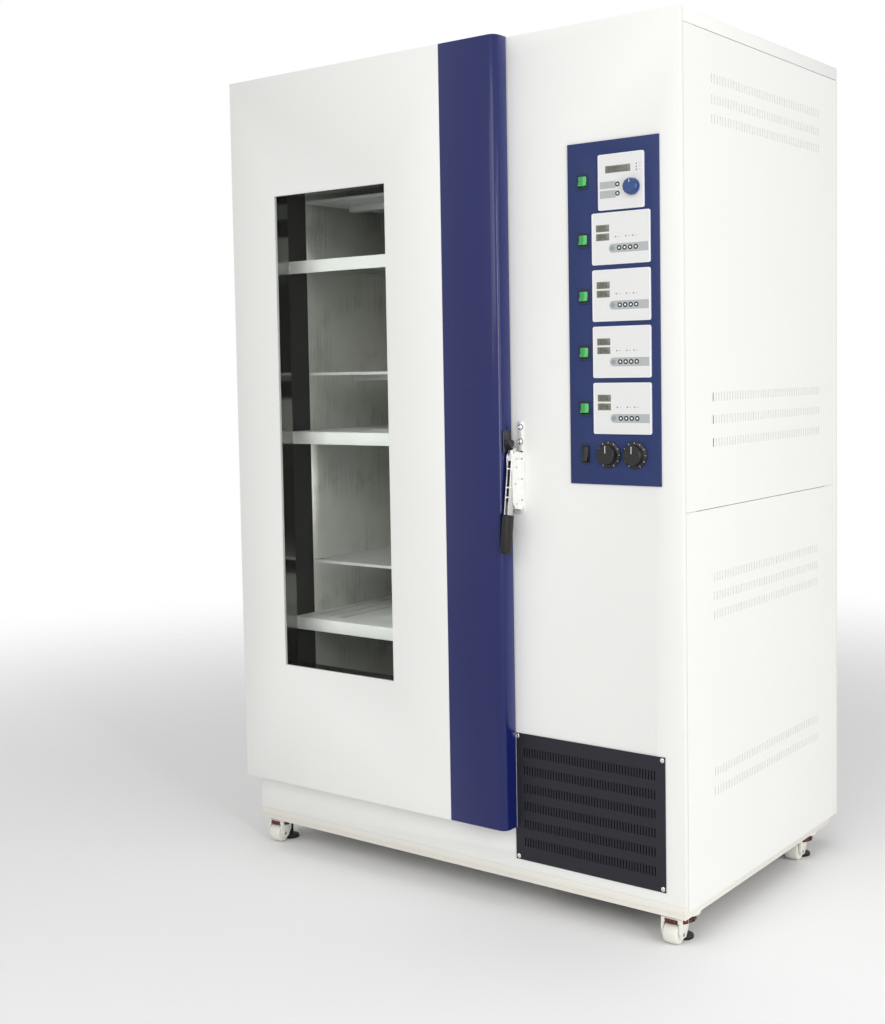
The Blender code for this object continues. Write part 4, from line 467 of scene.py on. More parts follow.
def dress(obj: bpy.types.Object, finish: Finishes, body: str, slot: str, replaces: Sequence[str]) -> None:
    """Gives a piece its finish and its body, and hides the CAD nodes it stands for.

    Args:
        obj: the piece, with its place in its mesh.
        finish: its finish.
        body: the CAD body it rides on.
        slot: the record's material slot, or nothing for the finish's own; it is not used.
        replaces: CAD nodes that it stands for.
    """
    slot = slot or finish.value.slot
    obj.data.materials.clear()
    obj.data.materials.append(finish.material())
    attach(obj, body)
    if replaces:
        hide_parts(*replaces)
    LOG.info("piece %s: %d faces on %s", obj.name, len(obj.data.polygons), body)


class Form:
    """A mesh in the making, put together from parts that bmesh operators shape."""

    def __init__(self) -> None:
        """Starts an empty mesh."""
        self.mesh = bmesh.new()

    def add(self, part: BMesh, place: Matrix = Matrix()) -> "Form":
        """Moves a part, which is freed, into place, takes it in and gives this form."""
        bmesh.ops.transform(part, matrix=place, verts=part.verts)
        scratch = bpy.data.meshes.new("scratch")
        part.to_mesh(scratch)
        part.free()
        self.mesh.from_mesh(scratch)
        bpy.data.meshes.remove(scratch)
        return self

    def piece(
        self, name: str, finish: Finishes, body: str = Body.CABINET.value, replaces: Sequence[str] = (),
        slot: str = "",
    ) -> None:
        """Makes the finished piece.

        Args:
            name: the piece's name.
            finish: its finish.
            body: the CAD body it rides on.
            replaces: CAD nodes that it stands for.
            slot: the record's material slot, where it isn't the finish's own.
        """
        bmesh.ops.recalc_face_normals(self.mesh, faces=self.mesh.faces)
        dress(new_object(name, self.mesh), finish, body, slot, replaces)


def ease(part: BMesh, edges: Sequence[bmesh.types.BMEdge], width: float, steps: int = 2) -> None:
    """Rounds edges of a part."""
    bmesh.ops.bevel(
        part, geom=list(edges), offset=width, offset_type="OFFSET", segments=steps, profile=0.5,
        affect="EDGES", material=-1, clamp_overlap=True,
    )


def sharp(part: BMesh, angle: float) -> list[bmesh.types.BMEdge]:
    """Gives the edges of a part that bend by more than an angle in degrees."""
    return [e for e in part.edges if e.is_manifold and e.calc_face_angle(0.0) > math.radians(angle)]


def along(edge: bmesh.types.BMEdge, axis: Axis) -> bool:
    """Says whether an edge runs along an axis."""
    run = edge.verts[1].co - edge.verts[0].co
    return abs(run[axis.value]) > 0.999 * run.length


def block(
    low: Point, high: Point, corner: float = 0.0, axis: Axis = Axis.Y, edge: float = 0.0, steps: int = 4,
) -> BMesh:
    """Makes a block whose corners along one axis are rounded, and then its other edges.

    Args:
        low: its lowest corner.
        high: its highest corner.
        corner: radius of the edges along the axis.
        axis: the axis those edges run along.
        edge: radius of the edges that are left.
        steps: faces round each corner.

    Returns:
        The block.
    """
    part = bmesh.new()
    bmesh.ops.create_cube(part, size=1.0)
    bmesh.ops.scale(part, vec=Vector(high) - Vector(low), verts=part.verts)
    bmesh.ops.translate(part, vec=(Vector(low) + Vector(high)) / 2, verts=part.verts)
    if corner:
        ease(part, [e for e in part.edges if along(e, axis)], corner, steps)
    if edge:
        ease(part, sharp(part, 40), edge)
    return part


def turned(profile: Sequence[Spot], start: Point, axis: Point, sides: int) -> BMesh:
    """Makes a turned part from a profile of radius and height, spun about an axis.

    Args:
        profile: radius and height of each point, from the bottom up.
        start: the foot of the axis.
        axis: its direction.
        sides: steps in the full turn.

    Returns:
        The part.
    """
    part = bmesh.new()
    verts = [part.verts.new((radius, 0.0, height)) for radius, height in profile]
    for first, second in zip(verts, verts[1:]):
        part.edges.new((first, second))
    bmesh.ops.spin(
        part, geom=part.verts[:] + part.edges[:], cent=(0, 0, 0), axis=(0, 0, 1), dvec=(0, 0, 0),
        angle=math.tau, steps=sides, use_merge=True, use_duplicate=False,
    )
    bmesh.ops.remove_doubles(part, verts=part.verts, dist=1e-6)
    open_rims = [e for e in part.edges if e.is_boundary]
    if open_rims:
        bmesh.ops.holes_fill(part, edges=open_rims, sides=0)
    turn = Vector((0, 0, 1)).rotation_difference(Vector(axis)).to_matrix().to_4x4()
    bmesh.ops.transform(part, matrix=Matrix.Translation(start) @ turn, verts=part.verts)
    return part


def rod(start: Point, end: Point, radius: float, edge: float, sides: int) -> BMesh:
    """Makes a round bar between two points, its rims eased."""
    run = Vector(end) - Vector(start)
    profile = [(0.0, 0.0), (radius - edge, 0.0), (radius, edge), (radius, run.length - edge),
               (radius - edge, run.length), (0.0, run.length)]
    return turned(profile, start, tuple(run.normalized()), sides)


def dome_screw(at: Point, axis: Point, radius: float, height: float) -> BMesh:
    """Makes a dome screw head with a round socket, standing on a surface."""
    shape = ((0.0, 0.45), (0.36, 0.45), (0.42, 0.96), (0.62, 0.86), (0.86, 0.55), (1.0, 0.0))
    return turned([(radius * out, height * up) for out, up in shape], at, axis, 16)


def in_radii(radius: float, *shape: Spot) -> list[Spot]:
    """Gives a profile whose radii are shares of one radius."""
    return [(radius * share, height) for share, height in shape]


def spread(low: float, high: float, inset: float, count: int = 2) -> list[float]:
    """Gives evenly spread places between two ends, the first and the last at an inset from them."""
    return [low + inset + (high - low - 2 * inset) * step / (count - 1) for step in range(count)]


def arc(x: float, y: float, radius: float, start: float, end: float, steps: int) -> list[Spot]:
    """Gives points along an arc, from one share of a full turn to another."""
    turns = [math.tau * (start + (end - start) * step / steps) for step in range(steps + 1)]
    return [(x + radius * math.cos(turn), y + radius * math.sin(turn)) for turn in turns]


def rounded(left: float, bottom: float, right: float, top: float, radius: float, steps: int) -> list[Spot]:
    """Gives the outline of a rectangle with round corners."""
    middles = [(right - radius, top - radius), (left + radius, top - radius),
               (left + radius, bottom + radius), (right - radius, bottom + radius)]
    ring = []
    for corner, (x, y) in enumerate(middles):
        ring += arc(x, y, radius, corner / 4, (corner + 1) / 4, steps)
    return ring


def plate(rings: Sequence[Sequence[Spot]], thickness: float) -> BMesh:
    """Makes a flat plate in the XY plane, thick along Z.

    Args:
        rings: its outline, and then the outline of each hole.
        thickness: its thickness.

    Returns:
        The plate.
    """
    part = bmesh.new()
    for ring in rings:
        verts = [part.verts.new((x, y, 0.0)) for x, y in ring]
        for first, second in zip(verts, verts[1:] + verts[:1]):
            part.edges.new((first, second))
    bmesh.ops.triangle_fill(part, use_beauty=True, use_dissolve=False, edges=part.edges[:], normal=(0, 0, 1))
    thicken(part, thickness)
    return part


def thicken(part: BMesh, depth: float) -> None:
    """Gives a flat part its thickness along Z."""
    grown = bmesh.ops.extrude_face_region(part, geom=part.faces[:])
    verts = [item for item in grown["geom"] if isinstance(item, bmesh.types.BMVert)]
    bmesh.ops.translate(part, vec=(0, 0, depth), verts=verts)
    bmesh.ops.recalc_face_normals(part, faces=part.faces)


STAND_UP = Matrix(((1, 0, 0, 0), (0, 0, 1, 0), (0, 1, 0, 0), (0, 0, 0, 1)))
TURN_SIDE = Matrix(((0, 0, 1, 0), (1, 0, 0, 0), (0, 1, 0, 0), (0, 0, 0, 1)))


def upright(y: float) -> Matrix:
    """Stands a flat part up at a depth, so that it faces along Y."""
    return shift(0, y, 0) @ STAND_UP


@dataclass
class SlottedSheet:
    """A flat sheet with rows of fine slots whose ends are round, made in its own XY plane."""

    low: Spot
    high: Spot
    rows: Sequence[float]
    start: float
    end: float
    columns: int
    slot_width: float
    slot_height: float
    thickness: float

    def _cut(self, part: BMesh, faces: Sequence[bmesh.types.BMFace], at: Point, normal: Point) -> None:
        """Cuts some faces along a plane."""
        edges = {e for f in faces for e in f.edges}
        verts = {v for f in faces for v in f.verts}
        bmesh.ops.bisect_plane(part, geom=[*verts, *edges, *faces], dist=1e-7, plane_co=at, plane_no=normal)

    def _near(self, part: BMesh, row: float, reach: float) -> list[bmesh.types.BMFace]:
        """Gives the faces whose middle is near a row."""
        return [f for f in part.faces if abs(f.calc_center_median().y - row) < reach]

    def build(self) -> BMesh:
        """Cuts the sheet into cells, opens a slot in each and gives it thickness.

        Returns:
            The sheet, its outer face at zero and its back at minus the thickness.
        """
        part = bmesh.new()
        (left, bottom), (right, top) = self.low, self.high
        bmesh.ops.create_grid(part, x_segments=1, y_segments=1, size=0.5)
        bmesh.ops.scale(part, vec=(right - left, top - bottom, 1.0), verts=part.verts)
        bmesh.ops.translate(part, vec=((right + left) / 2, (top + bottom) / 2, 0.0), verts=part.verts)
        pitch = (self.end - self.start) / self.columns
        rim = (pitch - self.slot_width) / 2
        reach = self.slot_height / 2 + rim
        cells = []
        for row in self.rows:
            for height in (row - reach, row + reach):
                self._cut(part, part.faces[:], (0, height, 0), (0, 1, 0))
            for index in range(self.columns + 1):
                strip = self._near(part, row, reach)
                self._cut(part, strip, (self.start + index * pitch, 0, 0), (1, 0, 0))
            strip = self._near(part, row, reach)
            cells += [f for f in strip if self.start < f.calc_center_median().x < self.end]
        bmesh.ops.inset_individual(part, faces=cells, thickness=rim, use_even_offset=True)
        corners = list({v for f in cells for v in f.verts})
        bmesh.ops.bevel(part, geom=corners, offset=0.46 * self.slot_width, offset_type="OFFSET", segments=2,
                        profile=0.5, affect="VERTICES", material=-1)
        half = self.slot_height / 2 - 0.6 * self.slot_width
        least = 0.8 * self.slot_width * (self.slot_height - self.slot_width)
        slots = [
            f for row in self.rows for f in self._near(part, row, half / 4)
            if least < f.calc_area() < pitch * self.slot_height
            and abs(((f.calc_center_median().x - self.start) / pitch) % 1 - 0.5) < 0.1
        ]
        bmesh.ops.delete(part, geom=slots, context="FACES")
        thicken(part, -self.thickness)
        return part


def eased_copy(node: str, finish: Finishes, width: float = 0.0, slot: str = "") -> None:
    """Makes a merged copy of a CAD node with eased edges, which stands for the node.

    Args:
        node: the CAD node.
        finish: the copy's finish.
        width: how far its edges are eased, or zero.
        slot: the record's material slot, where it isn't the finish's own.
    """
    part = bmesh.new()
    part.from_mesh(frame["nodes"][node].data)
    bmesh.ops.remove_doubles(part, verts=part.verts, dist=2e-6)
    bmesh.ops.dissolve_limit(part, angle_limit=math.radians(0.5), use_dissolve_boundaries=False,
                             verts=part.verts, edges=part.edges)
    if width:
        ease(part, sharp(part, 50), width)
    body = next(name for name, members in frame["record"]["behaviour"]["bodies"].items() if node in members)
    dress(new_object(f"{node}_dressed", part), finish, body, slot, [node])


@dataclass
class CabinetSkins:
    """The sheets round the cabinet and the frame under them. A row is its height, start and end."""

    screw_radius: float = 0.0045
    screw_height: float = 0.0022
    flush_height: float = 0.0002
    slot_width: float = 0.0048
    slot_height: float = 0.020
    sheet: float = 0.0010
    painted_light_gap: float = 0.0003
    painted_light_and_shade_lap: float = 0.006
    back_inset: float = 0.045
    back_count: int = 7
    upper_columns: int = 44
    lower_columns: int = 43
    upper_rows: Sequence[Point] = (
        (1.8525, 0.136, 0.727), (1.8085, 0.136, 0.727), (1.7675, 0.136, 0.727), (1.175, 0.151, 0.730),
        (1.126, 0.151, 0.730), (1.076, 0.151, 0.730),
    )
    lower_rows: Sequence[Point] = (
        (0.783, 0.136, 0.716), (0.741, 0.136, 0.716), (0.700, 0.136, 0.716), (0.3535, 0.131, 0.727),
        (0.3095, 0.131, 0.727),
    )
    screws: Sequence[Spot] = (
        (0.052, 1.919), (0.058, 1.451), (0.059, 0.510), (0.052, 0.153), (0.431, 0.119), (0.792, 1.913),
        (0.806, 0.142), (0.806, 0.502),
    )

    def build(self) -> None:
        """Builds the skins."""
        for node in ("front_panel", "side_casing", "top_panel"):
            eased_copy(node, Finishes.WHITE_PAINT, 0.0005)
        eased_copy("base_frame", Finishes.CREAM_PAINT, 0.0006)
        self.side_panel("right_upper_panel", self.upper_rows, self.upper_columns)
        self.side_panel("right_lower_panel", self.lower_rows, self.lower_columns)
        self.louvre_backing()
        self.side_screws()
        self.back_screws()
        eased_copy("insulation_jacket", Finishes.DOOR_INNER_FACE)

    def side_panel(self, node: str, rows: Sequence[Point], columns: int) -> None:
        """Makes a right side panel with its rows of slots, which all run as the first one does.

        Args:
            node: the CAD node it stands for.
            rows: its rows.
            columns: how many slots a row has.
        """
        low, high, _ = box(node)
        _, start, end = rows[0]
        sheet = SlottedSheet(
            (low.y, low.z), (high.y, high.z), [row[0] for row in rows], FRONT + start, FRONT + end, columns,
            self.slot_width, self.slot_height, self.sheet,
        )
        form = Form().add(sheet.build(), shift(high.x, 0, 0) @ TURN_SIDE)
        form.piece(f"{node}_slotted", Finishes.WHITE_PAINT, replaces=[node])

    def louvre_backing(self) -> None:
        """Makes the pale sheets close behind the side slots, painted light that makes the slots look bright.
        """
        _, high, _ = box("right_upper_panel")
        form = Form()
        # Painted light: each pale sheet sits just behind a group of slots.
        reach = self.slot_height / 2 + self.painted_light_and_shade_lap
        back = high.x - self.sheet - 2 * self.painted_light_gap
        face = high.x - self.sheet - self.painted_light_gap
        for height, start, end in (*self.upper_rows, *self.lower_rows):
            form.add(block((back, FRONT + start - self.painted_light_and_shade_lap, height - reach),
                           (face, FRONT + end + self.painted_light_and_shade_lap, height + reach)))
        form.piece("louvre_backing", Finishes.LOUVRE_BACKING)

    def back_screws(self) -> None:
        """Makes the screws round the back sheet's edge."""
        low, high, _ = box("side_casing")
        form = Form()
        for x in spread(low.x, high.x, self.back_inset):
            for z in spread(low.z, high.z, self.back_inset, self.back_count):
                form.add(dome_screw((x, high.y, z), (0, 1, 0), self.screw_radius, self.screw_height))
        form.piece("back_screws", Finishes.WHITE_PAINT)

    def side_screws(self) -> None:
        """Makes the nearly flush screws that hold the right side panels."""
        _, high, _ = box("right_upper_panel")
        form = Form()
        for y, z in self.screws:
            at = (high.x - self.flush_height, FRONT + y, z)
            form.add(dome_screw(at, (1, 0, 0), self.screw_radius, self.flush_height))
        form.piece("side_panel_screws", Finishes.STEEL)


@dataclass
class FrontGrille:
    """The dark slotted grille in front of the refrigeration unit, held by four dome screws."""

    rows: int = 6
    columns: int = 48
    rim: float = 0.022
    lift: float = 0.0023
    sheet: float = 0.002
    slot_width: float = 0.0030
    slot_height: float = 0.022
    screw_inset: float = 0.007
    screw_radius: float = 0.0052
    screw_height: float = 0.0010
    painted_shade_depth: float = 0.004
    painted_shade_thickness: float = 0.001
    painted_light_and_shade_lap: float = 0.0005

    def build(self) -> None:
        """Builds the grille, its screws and the dark sheet behind it, which is painted shade in the slots."""
        low, high, _ = box("front_grille")
        face_y = FRONT - self.lift
        pitch = (high.z - low.z - 2 * self.rim) / self.rows
        heights = [low.z + self.rim + (index + 0.5) * pitch for index in range(self.rows)]
        sheet = SlottedSheet(
            (low.x, low.z), (high.x, high.z), heights, low.x + self.rim, high.x - self.rim, self.columns,
            self.slot_width, self.slot_height, self.sheet,
        )
        form = Form().add(sheet.build(), upright(face_y) @ Matrix.Scale(-1, 4, (0, 0, 1)))
        form.piece("front_grille_slotted", Finishes.DARK_PAINT, replaces=["front_grille"])
        screws = Form()
        for x in spread(low.x, high.x, self.screw_inset):
            for z in spread(low.z, high.z, self.screw_inset):
                screws.add(dome_screw((x, face_y, z), FORWARD, self.screw_radius, self.screw_height))
        screws.piece("grille_screws", Finishes.CHROME, slot="steel")
        # Painted shade: a dark sheet just behind the slots.
        lap = self.rim + self.painted_light_and_shade_lap
        back = FRONT + self.painted_shade_depth
        painted_shade_sheet = block((low.x + lap, back, low.z + lap),
                        (high.x - lap, back + self.painted_shade_thickness, high.z - lap))
        Form().add(painted_shade_sheet).piece("grille_backing", Finishes.GRILLE_BACKING)


SEGMENTS = {"0": "abcdef", "2": "abged", "3": "abgcd", "4": "fgbc", "5": "afgcd", "7": "abc", "8": "abcdefg"}


@dataclass
class Display:
    """A small liquid crystal window with plain digits in it."""

    left: float
    top: float
    width: float
    height: float
    digits: str
    digit_height: float = 0.0085
    corner: float = 0.0008

    def pane(self, face_y: float) -> BMesh:
        """Makes the window itself, its face just under the membrane's."""
        low = (self.left, face_y - 0.0001, self.top - self.height)
        return block(low, (self.left + self.width, face_y + 0.002, self.top), self.corner, Axis.Y, 0.0002)

    def draw(self, form: Form, face_y: float) -> None:
        """Adds the digits to a form, as thin raised bars.

        Args:
            form: the form that takes them in.
            face_y: y of the window's face.
        """
        high = self.digit_height
        wide, bar = high * 0.52, high * 0.11
        pitch = wide * 1.55
        left = self.left + (self.width - pitch * len(self.digits) + pitch - wide) / 2
        base = self.top - self.height / 2 - high / 2
        spans = {
            "a": (0, high - bar, wide, high), "d": (0, 0, wide, bar), "f": (0, high / 2, bar, high),
            "g": (0, (high - bar) / 2, wide, (high + bar) / 2), "e": (0, 0, bar, high / 2),
            "b": (wide - bar, high / 2, wide, high), "c": (wide - bar, 0, wide, high / 2),
        }
        for index, digit in enumerate(self.digits):
            at = left + index * pitch
            for x0, z0, x1, z1 in (spans[name] for name in SEGMENTS[digit]):
                low = (at + x0 + bar * 0.1, face_y - 0.00025, base + z0 + bar * 0.1)
                form.add(block(low, (at + x1 - bar * 0.1, face_y, base + z1 - bar * 0.1)))


@dataclass
class Controller:
    """A control module: a moulded face with a membrane, displays, lamps, legend bands and keys.

    Places on it are measured from its top left corner, to the right and down.
    """

    name: str
    node: str
    corner: float = 0.0042
    rim: float = 0.0026
    rim_radius: float = 0.0012
    sink: float = 0.0005
    key_radius: float = 0.0054

    def __post_init__(self) -> None:
        """Finds the module's box and its membrane's face."""
        self.low, self.high, _ = box(self.node)
        self.face_y = self.low.y + self.sink - 0.00015

    def put(self, form: Form, suffix: str, finish: Finishes) -> None:
        """Makes one piece of the module."""
        form.piece(f"{self.name}_{suffix}", finish)

    def face(self) -> None:
        """Makes the moulded body and the membrane."""
        low, high, front = self.low, self.high, self.low.y
        part = block(tuple(low), (high.x, PANEL_FACE, high.z), self.corner, Axis.Y, 0.0, 6)
        ease(part, [e for e in part.edges if all(abs(v.co.y - front) < 1e-6 for v in e.verts)],
             self.rim_radius, 3)
        face = max(part.faces, key=lambda f: (f.calc_area() if f.normal.y < -0.99 else 0.0))
        for width, depth in ((self.rim - self.rim_radius, 0.0), (0.0004, -self.sink)):
            bmesh.ops.inset_region(part, faces=[face], thickness=width, depth=depth, use_even_offset=True)
        Form().add(part).piece(f"{self.name}_body", Finishes.MODULE_PLASTIC, replaces=[self.node])
        edge = self.rim + 0.0005
        membrane = block(
            (low.x + edge, self.face_y, low.z + edge),
            (high.x - edge, front + self.sink + 0.0003, high.z - edge), self.corner - 0.0015, Axis.Y, 0.0, 5,
        )
        self.put(Form().add(membrane), "membrane", Finishes.MEMBRANE)

    def displays(self, windows: Sequence[tuple[float, float, float, float, str]]) -> None:
        """Makes the displays and their digits.

        Args:
            windows: each one's left, top, width, height and digits.
        """
        panes, digits = Form(), Form()
        for left, top, width, height, text in windows:
            window = Display(self.low.x + left, self.high.z - top, width, height, text)
            panes.add(window.pane(self.face_y))
            window.draw(digits, self.face_y - 0.0001)
        self.put(panes, "displays", Finishes.DISPLAY_GLASS)
        self.put(digits, "digits", Finishes.DISPLAY_SEGMENT)

    def lamps(self, spots: Sequence[Spot]) -> None:
        """Makes the indicator lamps, each with a short legend bar beside it."""
        form, bars = Form(), Form()
        dome = [(0.0, 0.0), (0.0014, 0.0), (0.0013, 0.0006), (0.0008, 0.0009), (0.0, 0.001)]
        for right, down in spots:
            x, z = self.low.x + right, self.high.z - down
            form.add(turned(dome, (x, self.face_y + 0.0002, z), FORWARD, 12))
            bar = (x + 0.0050, self.face_y - 0.00006, z - 0.0005)
            bars.add(block(bar, (bar[0] + 0.0050, self.face_y + 0.0002, bar[2] + 0.0010)))
        self.put(form, "lamps", Finishes.INDICATOR_LENS)
        self.put(bars, "lamp_marks", Finishes.LEGEND_GREY)

    def bands(self, spans: Sequence[tuple[float, float, float, float]], corner: float) -> None:
        """Makes the grey legend bands, round at their left ends.

        Args:
            spans: each band's left, top, right and bottom.
            corner: radius of the round corners.
        """
        form = Form()
        for left, top, right, bottom in spans:
            x, low, high = self.low.x, self.high.z - bottom, self.high.z - top
            ring = [(x + right, low), (x + right, high)]
            ring += arc(x + left + corner, high - corner, corner, 0.25, 0.5, 8)
            ring += arc(x + left + corner, low + corner, corner, 0.5, 0.75, 8)
            form.add(plate([ring], 0.0003), upright(self.face_y - 0.00008))
        self.put(form, "bands", Finishes.LEGEND_GREY)

    def keys(self, spots: Sequence[Spot], grey: int = 0) -> None:
        """Makes the round keys: a dark ring with a raised white centre.

        Args:
            spots: where the keys are.
            grey: how many of them, from the first, are plain grey.
        """
        size = self.key_radius
        rings, faces, plain = Form(), Form(), Form()
        flat = in_radii(size, (0.0, 0.0), (1.0, 0.0), (1.0, 0.0002), (0.8, 0.0004), (0.0, 0.0006))
        rim = in_radii(size, (0.4, 0.0), (1.0, 0.0), (0.98, 0.0004), (0.5, 0.00045), (0.4, 0.0002),
                       (0.4, 0.0))
        dome = in_radii(size, (0.0, 0.0), (0.46, 0.0), (0.44, 0.0004), (0.25, 0.0006), (0.0, 0.00065))
        for index, (x, z) in enumerate(spots):
            at = (self.low.x + x, self.face_y, self.high.z - z)
            if index < grey:
                plain.add(turned(flat, at, FORWARD, 24))
                continue
            rings.add(turned(rim, at, FORWARD, 24))
            faces.add(turned(dome, at, FORWARD, 20))
        self.put(rings, "key_rings", Finishes.KEY_RING)
        self.put(faces, "key_faces", Finishes.KEY_FACE)
        if grey:
            self.put(plain, "grey_key", Finishes.KEY_GREY)


@dataclass
class ControlPanel:
    """The blue plate with its five modules, rockers, knob and two dials."""

    bezel_lap: float = 0.0006
    bezel_side: float = 0.0020
    bezel_end: float = 0.0032
    bezel_face: float = FRONT - 0.0068
    bezel_corner: float = 0.0025
    pocket_corner: float = 0.0012
    pocket_gap: float = 0.0009
    dial_marks: int = 11
    mark_inset: float = 0.0012
    mark_length: float = 0.0034
    mark_width: float = 0.0009
    dial_sweep: float = 300.0
    skirt_face: float = FRONT - 0.0036 - 0.004
    pointer: float = 0.0008

    def build(self) -> None:
        """Builds everything on the plate."""
        eased_copy("control_panel", Finishes.PANEL_BLUE, 0.0004)
        self.chamber_module()
        for tier in TIERS:
            self.tier_module(tier)
        self.switches()
        self.knob()
        for dial in (1, 2):
            self.dial(dial)

    def switches(self) -> None:
        """Builds the five green rockers and the lamp's black rocker, each in a black bezel."""
        bezels = Form()
        for node in ("main_switch", *(f"tier_switch_{tier}" for tier in TIERS), "lamp_switch"):
            if node == "lamp_switch":
                eased_copy(node, Finishes.BLACK_PLASTIC, 0.0012)
            else:
                eased_copy(node, Finishes.GREEN_PLASTIC, 0.0016)
            low, high, _ = box(node)
            side, end = self.bezel_side + self.bezel_lap, self.bezel_end + self.bezel_lap
            outer = rounded(low.x - side, low.z - end, high.x + side, high.z + end, self.bezel_corner, 5)
            gap = self.pocket_gap
            inner = rounded(low.x - gap, low.z - gap, high.x + gap, high.z + gap, self.pocket_corner, 3)
            bezels.add(plate([outer, inner], PANEL_FACE - self.bezel_face), upright(self.bezel_face))
        bezels.piece("switch_bezels", Finishes.BLACK_PLASTIC)

    def knob(self) -> None:
        """Builds the blue knob with its white pointer."""
        eased_copy("setting_knob", Finishes.KNOB_BLUE, 0.0012)
        low, high, middle = box("setting_knob")
        reach = (high.x - low.x) / 2
        form = Form().add(block(
            (middle.x - self.pointer, low.y - 0.0001, middle.z + 0.45 * reach),
            (middle.x + self.pointer, low.y + 0.0003, middle.z + 0.76 * reach),
        ))
        form.piece("knob_pointer", Finishes.MARK_WHITE, Body.SETTING_KNOB.value)

    def dial(self, number: int) -> None:
        """Builds a black skirted dial with marks round its skirt and a pointer on its cap.

        Args:
            number: which dial, counted from the left.
        """
        node = f"limit_dial_{number}"
        eased_copy(node, Finishes.BLACK_PLASTIC, 0.0008)
        low, high, middle = box(node)
        rim = (high.x - low.x) / 2 - self.mark_inset
        wide = self.mark_width / 2
        form = Form()
        for index in range(self.dial_marks):
            turn = math.radians(self.dial_sweep * (index / (self.dial_marks - 1) - 0.5))
            place = shift(middle.x, self.skirt_face, middle.z) @ Matrix.Rotation(turn, 4, "Y")
            form.add(block((-wide, -0.0001, rim - self.mark_length), (wide, 0.0004, rim)), place)
        cap = block((-self.pointer, -0.0001, 0.004), (self.pointer, 0.0005, 0.0195))
        form.add(cap, shift(middle.x, low.y, middle.z))
        form.piece(f"dial_marks_{number}", Finishes.MARK_WHITE, node)

    def chamber_module(self) -> None:
        """Builds the chamber's module: one display, three lamps, two keys and the knob's place."""
        module = Controller("chamber_module", "chamber_controller")
        module.face()
        module.displays([(0.0188, 0.0252, 0.0606, 0.0153, "3700250")])
        module.lamps([(0.0940, 0.0263), (0.0940, 0.0327), (0.0940, 0.0389)])
        module.bands([(0.0050, 0.0577, 0.0440, 0.0727), (0.0050, 0.0769, 0.0440, 0.0930)], 0.0006)
        module.keys([(0.0482, 0.0650), (0.0482, 0.0844)])

    def tier_module(self, tier: int) -> None:
        """Builds one tier's module: two displays, three lamps, a band and five keys.

        Args:
            tier: which tier, counted from the top.
        """
        module = Controller(f"tier_module_{tier}", f"tier_controller_{tier}")
        module.face()
        module.displays([(0.0112, 0.0256, 0.0325, 0.0150, "220"), (0.0114, 0.0442, 0.0322, 0.0150, "048")])
        module.lamps([(0.0595, 0.0524), (0.0840, 0.0524), (0.1010, 0.0524)])
        module.bands([(0.0425, 0.0670, 0.1372, 0.0858)], 0.0090)
        module.keys([(0.0513 + step, 0.0762) for step in (0.0, 0.0163, 0.0295, 0.0429, 0.0562)], 1)


@dataclass
class Door:
    """The door: white shell, blue edge cover, window, seal and strike."""

    reveal: float = 0.0008
    pane_lap: float = 0.012
    pane_gap: float = 0.0003
    reveal_rear: float = -0.3893
    roller_radius: float = 0.0092

    def build(self) -> None:
        """Builds the door."""
        eased_copy("door_shell", Finishes.WHITE_PAINT, 0.0004)
        eased_copy("door_edge_cover", Finishes.BLUE_PAINT, 0.0004)
        eased_copy("door_core", Finishes.DOOR_INNER_FACE, 0.0006)
        eased_copy("window_pane", Finishes.GLASS)
        eased_copy("door_gasket", Finishes.GASKET)
        # The strike's dark colour is partly its steel and partly painted shade.
        eased_copy("door_strike", Finishes.DARK_STEEL, 0.0004)
        self.window_reveal()
        self.roller()

    def window_reveal(self) -> None:
        """Makes the polished lining of the window's opening behind the pane."""
        low, high, _ = box("window_pane")
        rings = []
        for inset in (self.pane_lap, self.pane_lap + self.reveal):
            left, bottom, right, top = low.x + inset, low.z + inset, high.x - inset, high.z - inset
            rings.append([(left, bottom), (right, bottom), (right, top), (left, top)])
        front = high.y + self.pane_gap
        form = Form().add(plate(rings, self.reveal_rear - front), upright(front))
        form.piece("window_reveal", Finishes.WINDOW_REVEAL, Body.DOOR.value)

    def roller(self) -> None:
        """Makes the rubber tyre on the strike's roller."""
        low, high, middle = box("door_strike")
        z = low.z + 0.4 * (high.z - low.z)
        ends = ((low.x + 0.0045, middle.y, z), (high.x - 0.0015, middle.y, z))
        form = Form().add(rod(*ends, self.roller_radius, 0.001, 28))
        form.piece("strike_roller_tyre", Finishes.BLACK_RUBBER, Body.DOOR.value)


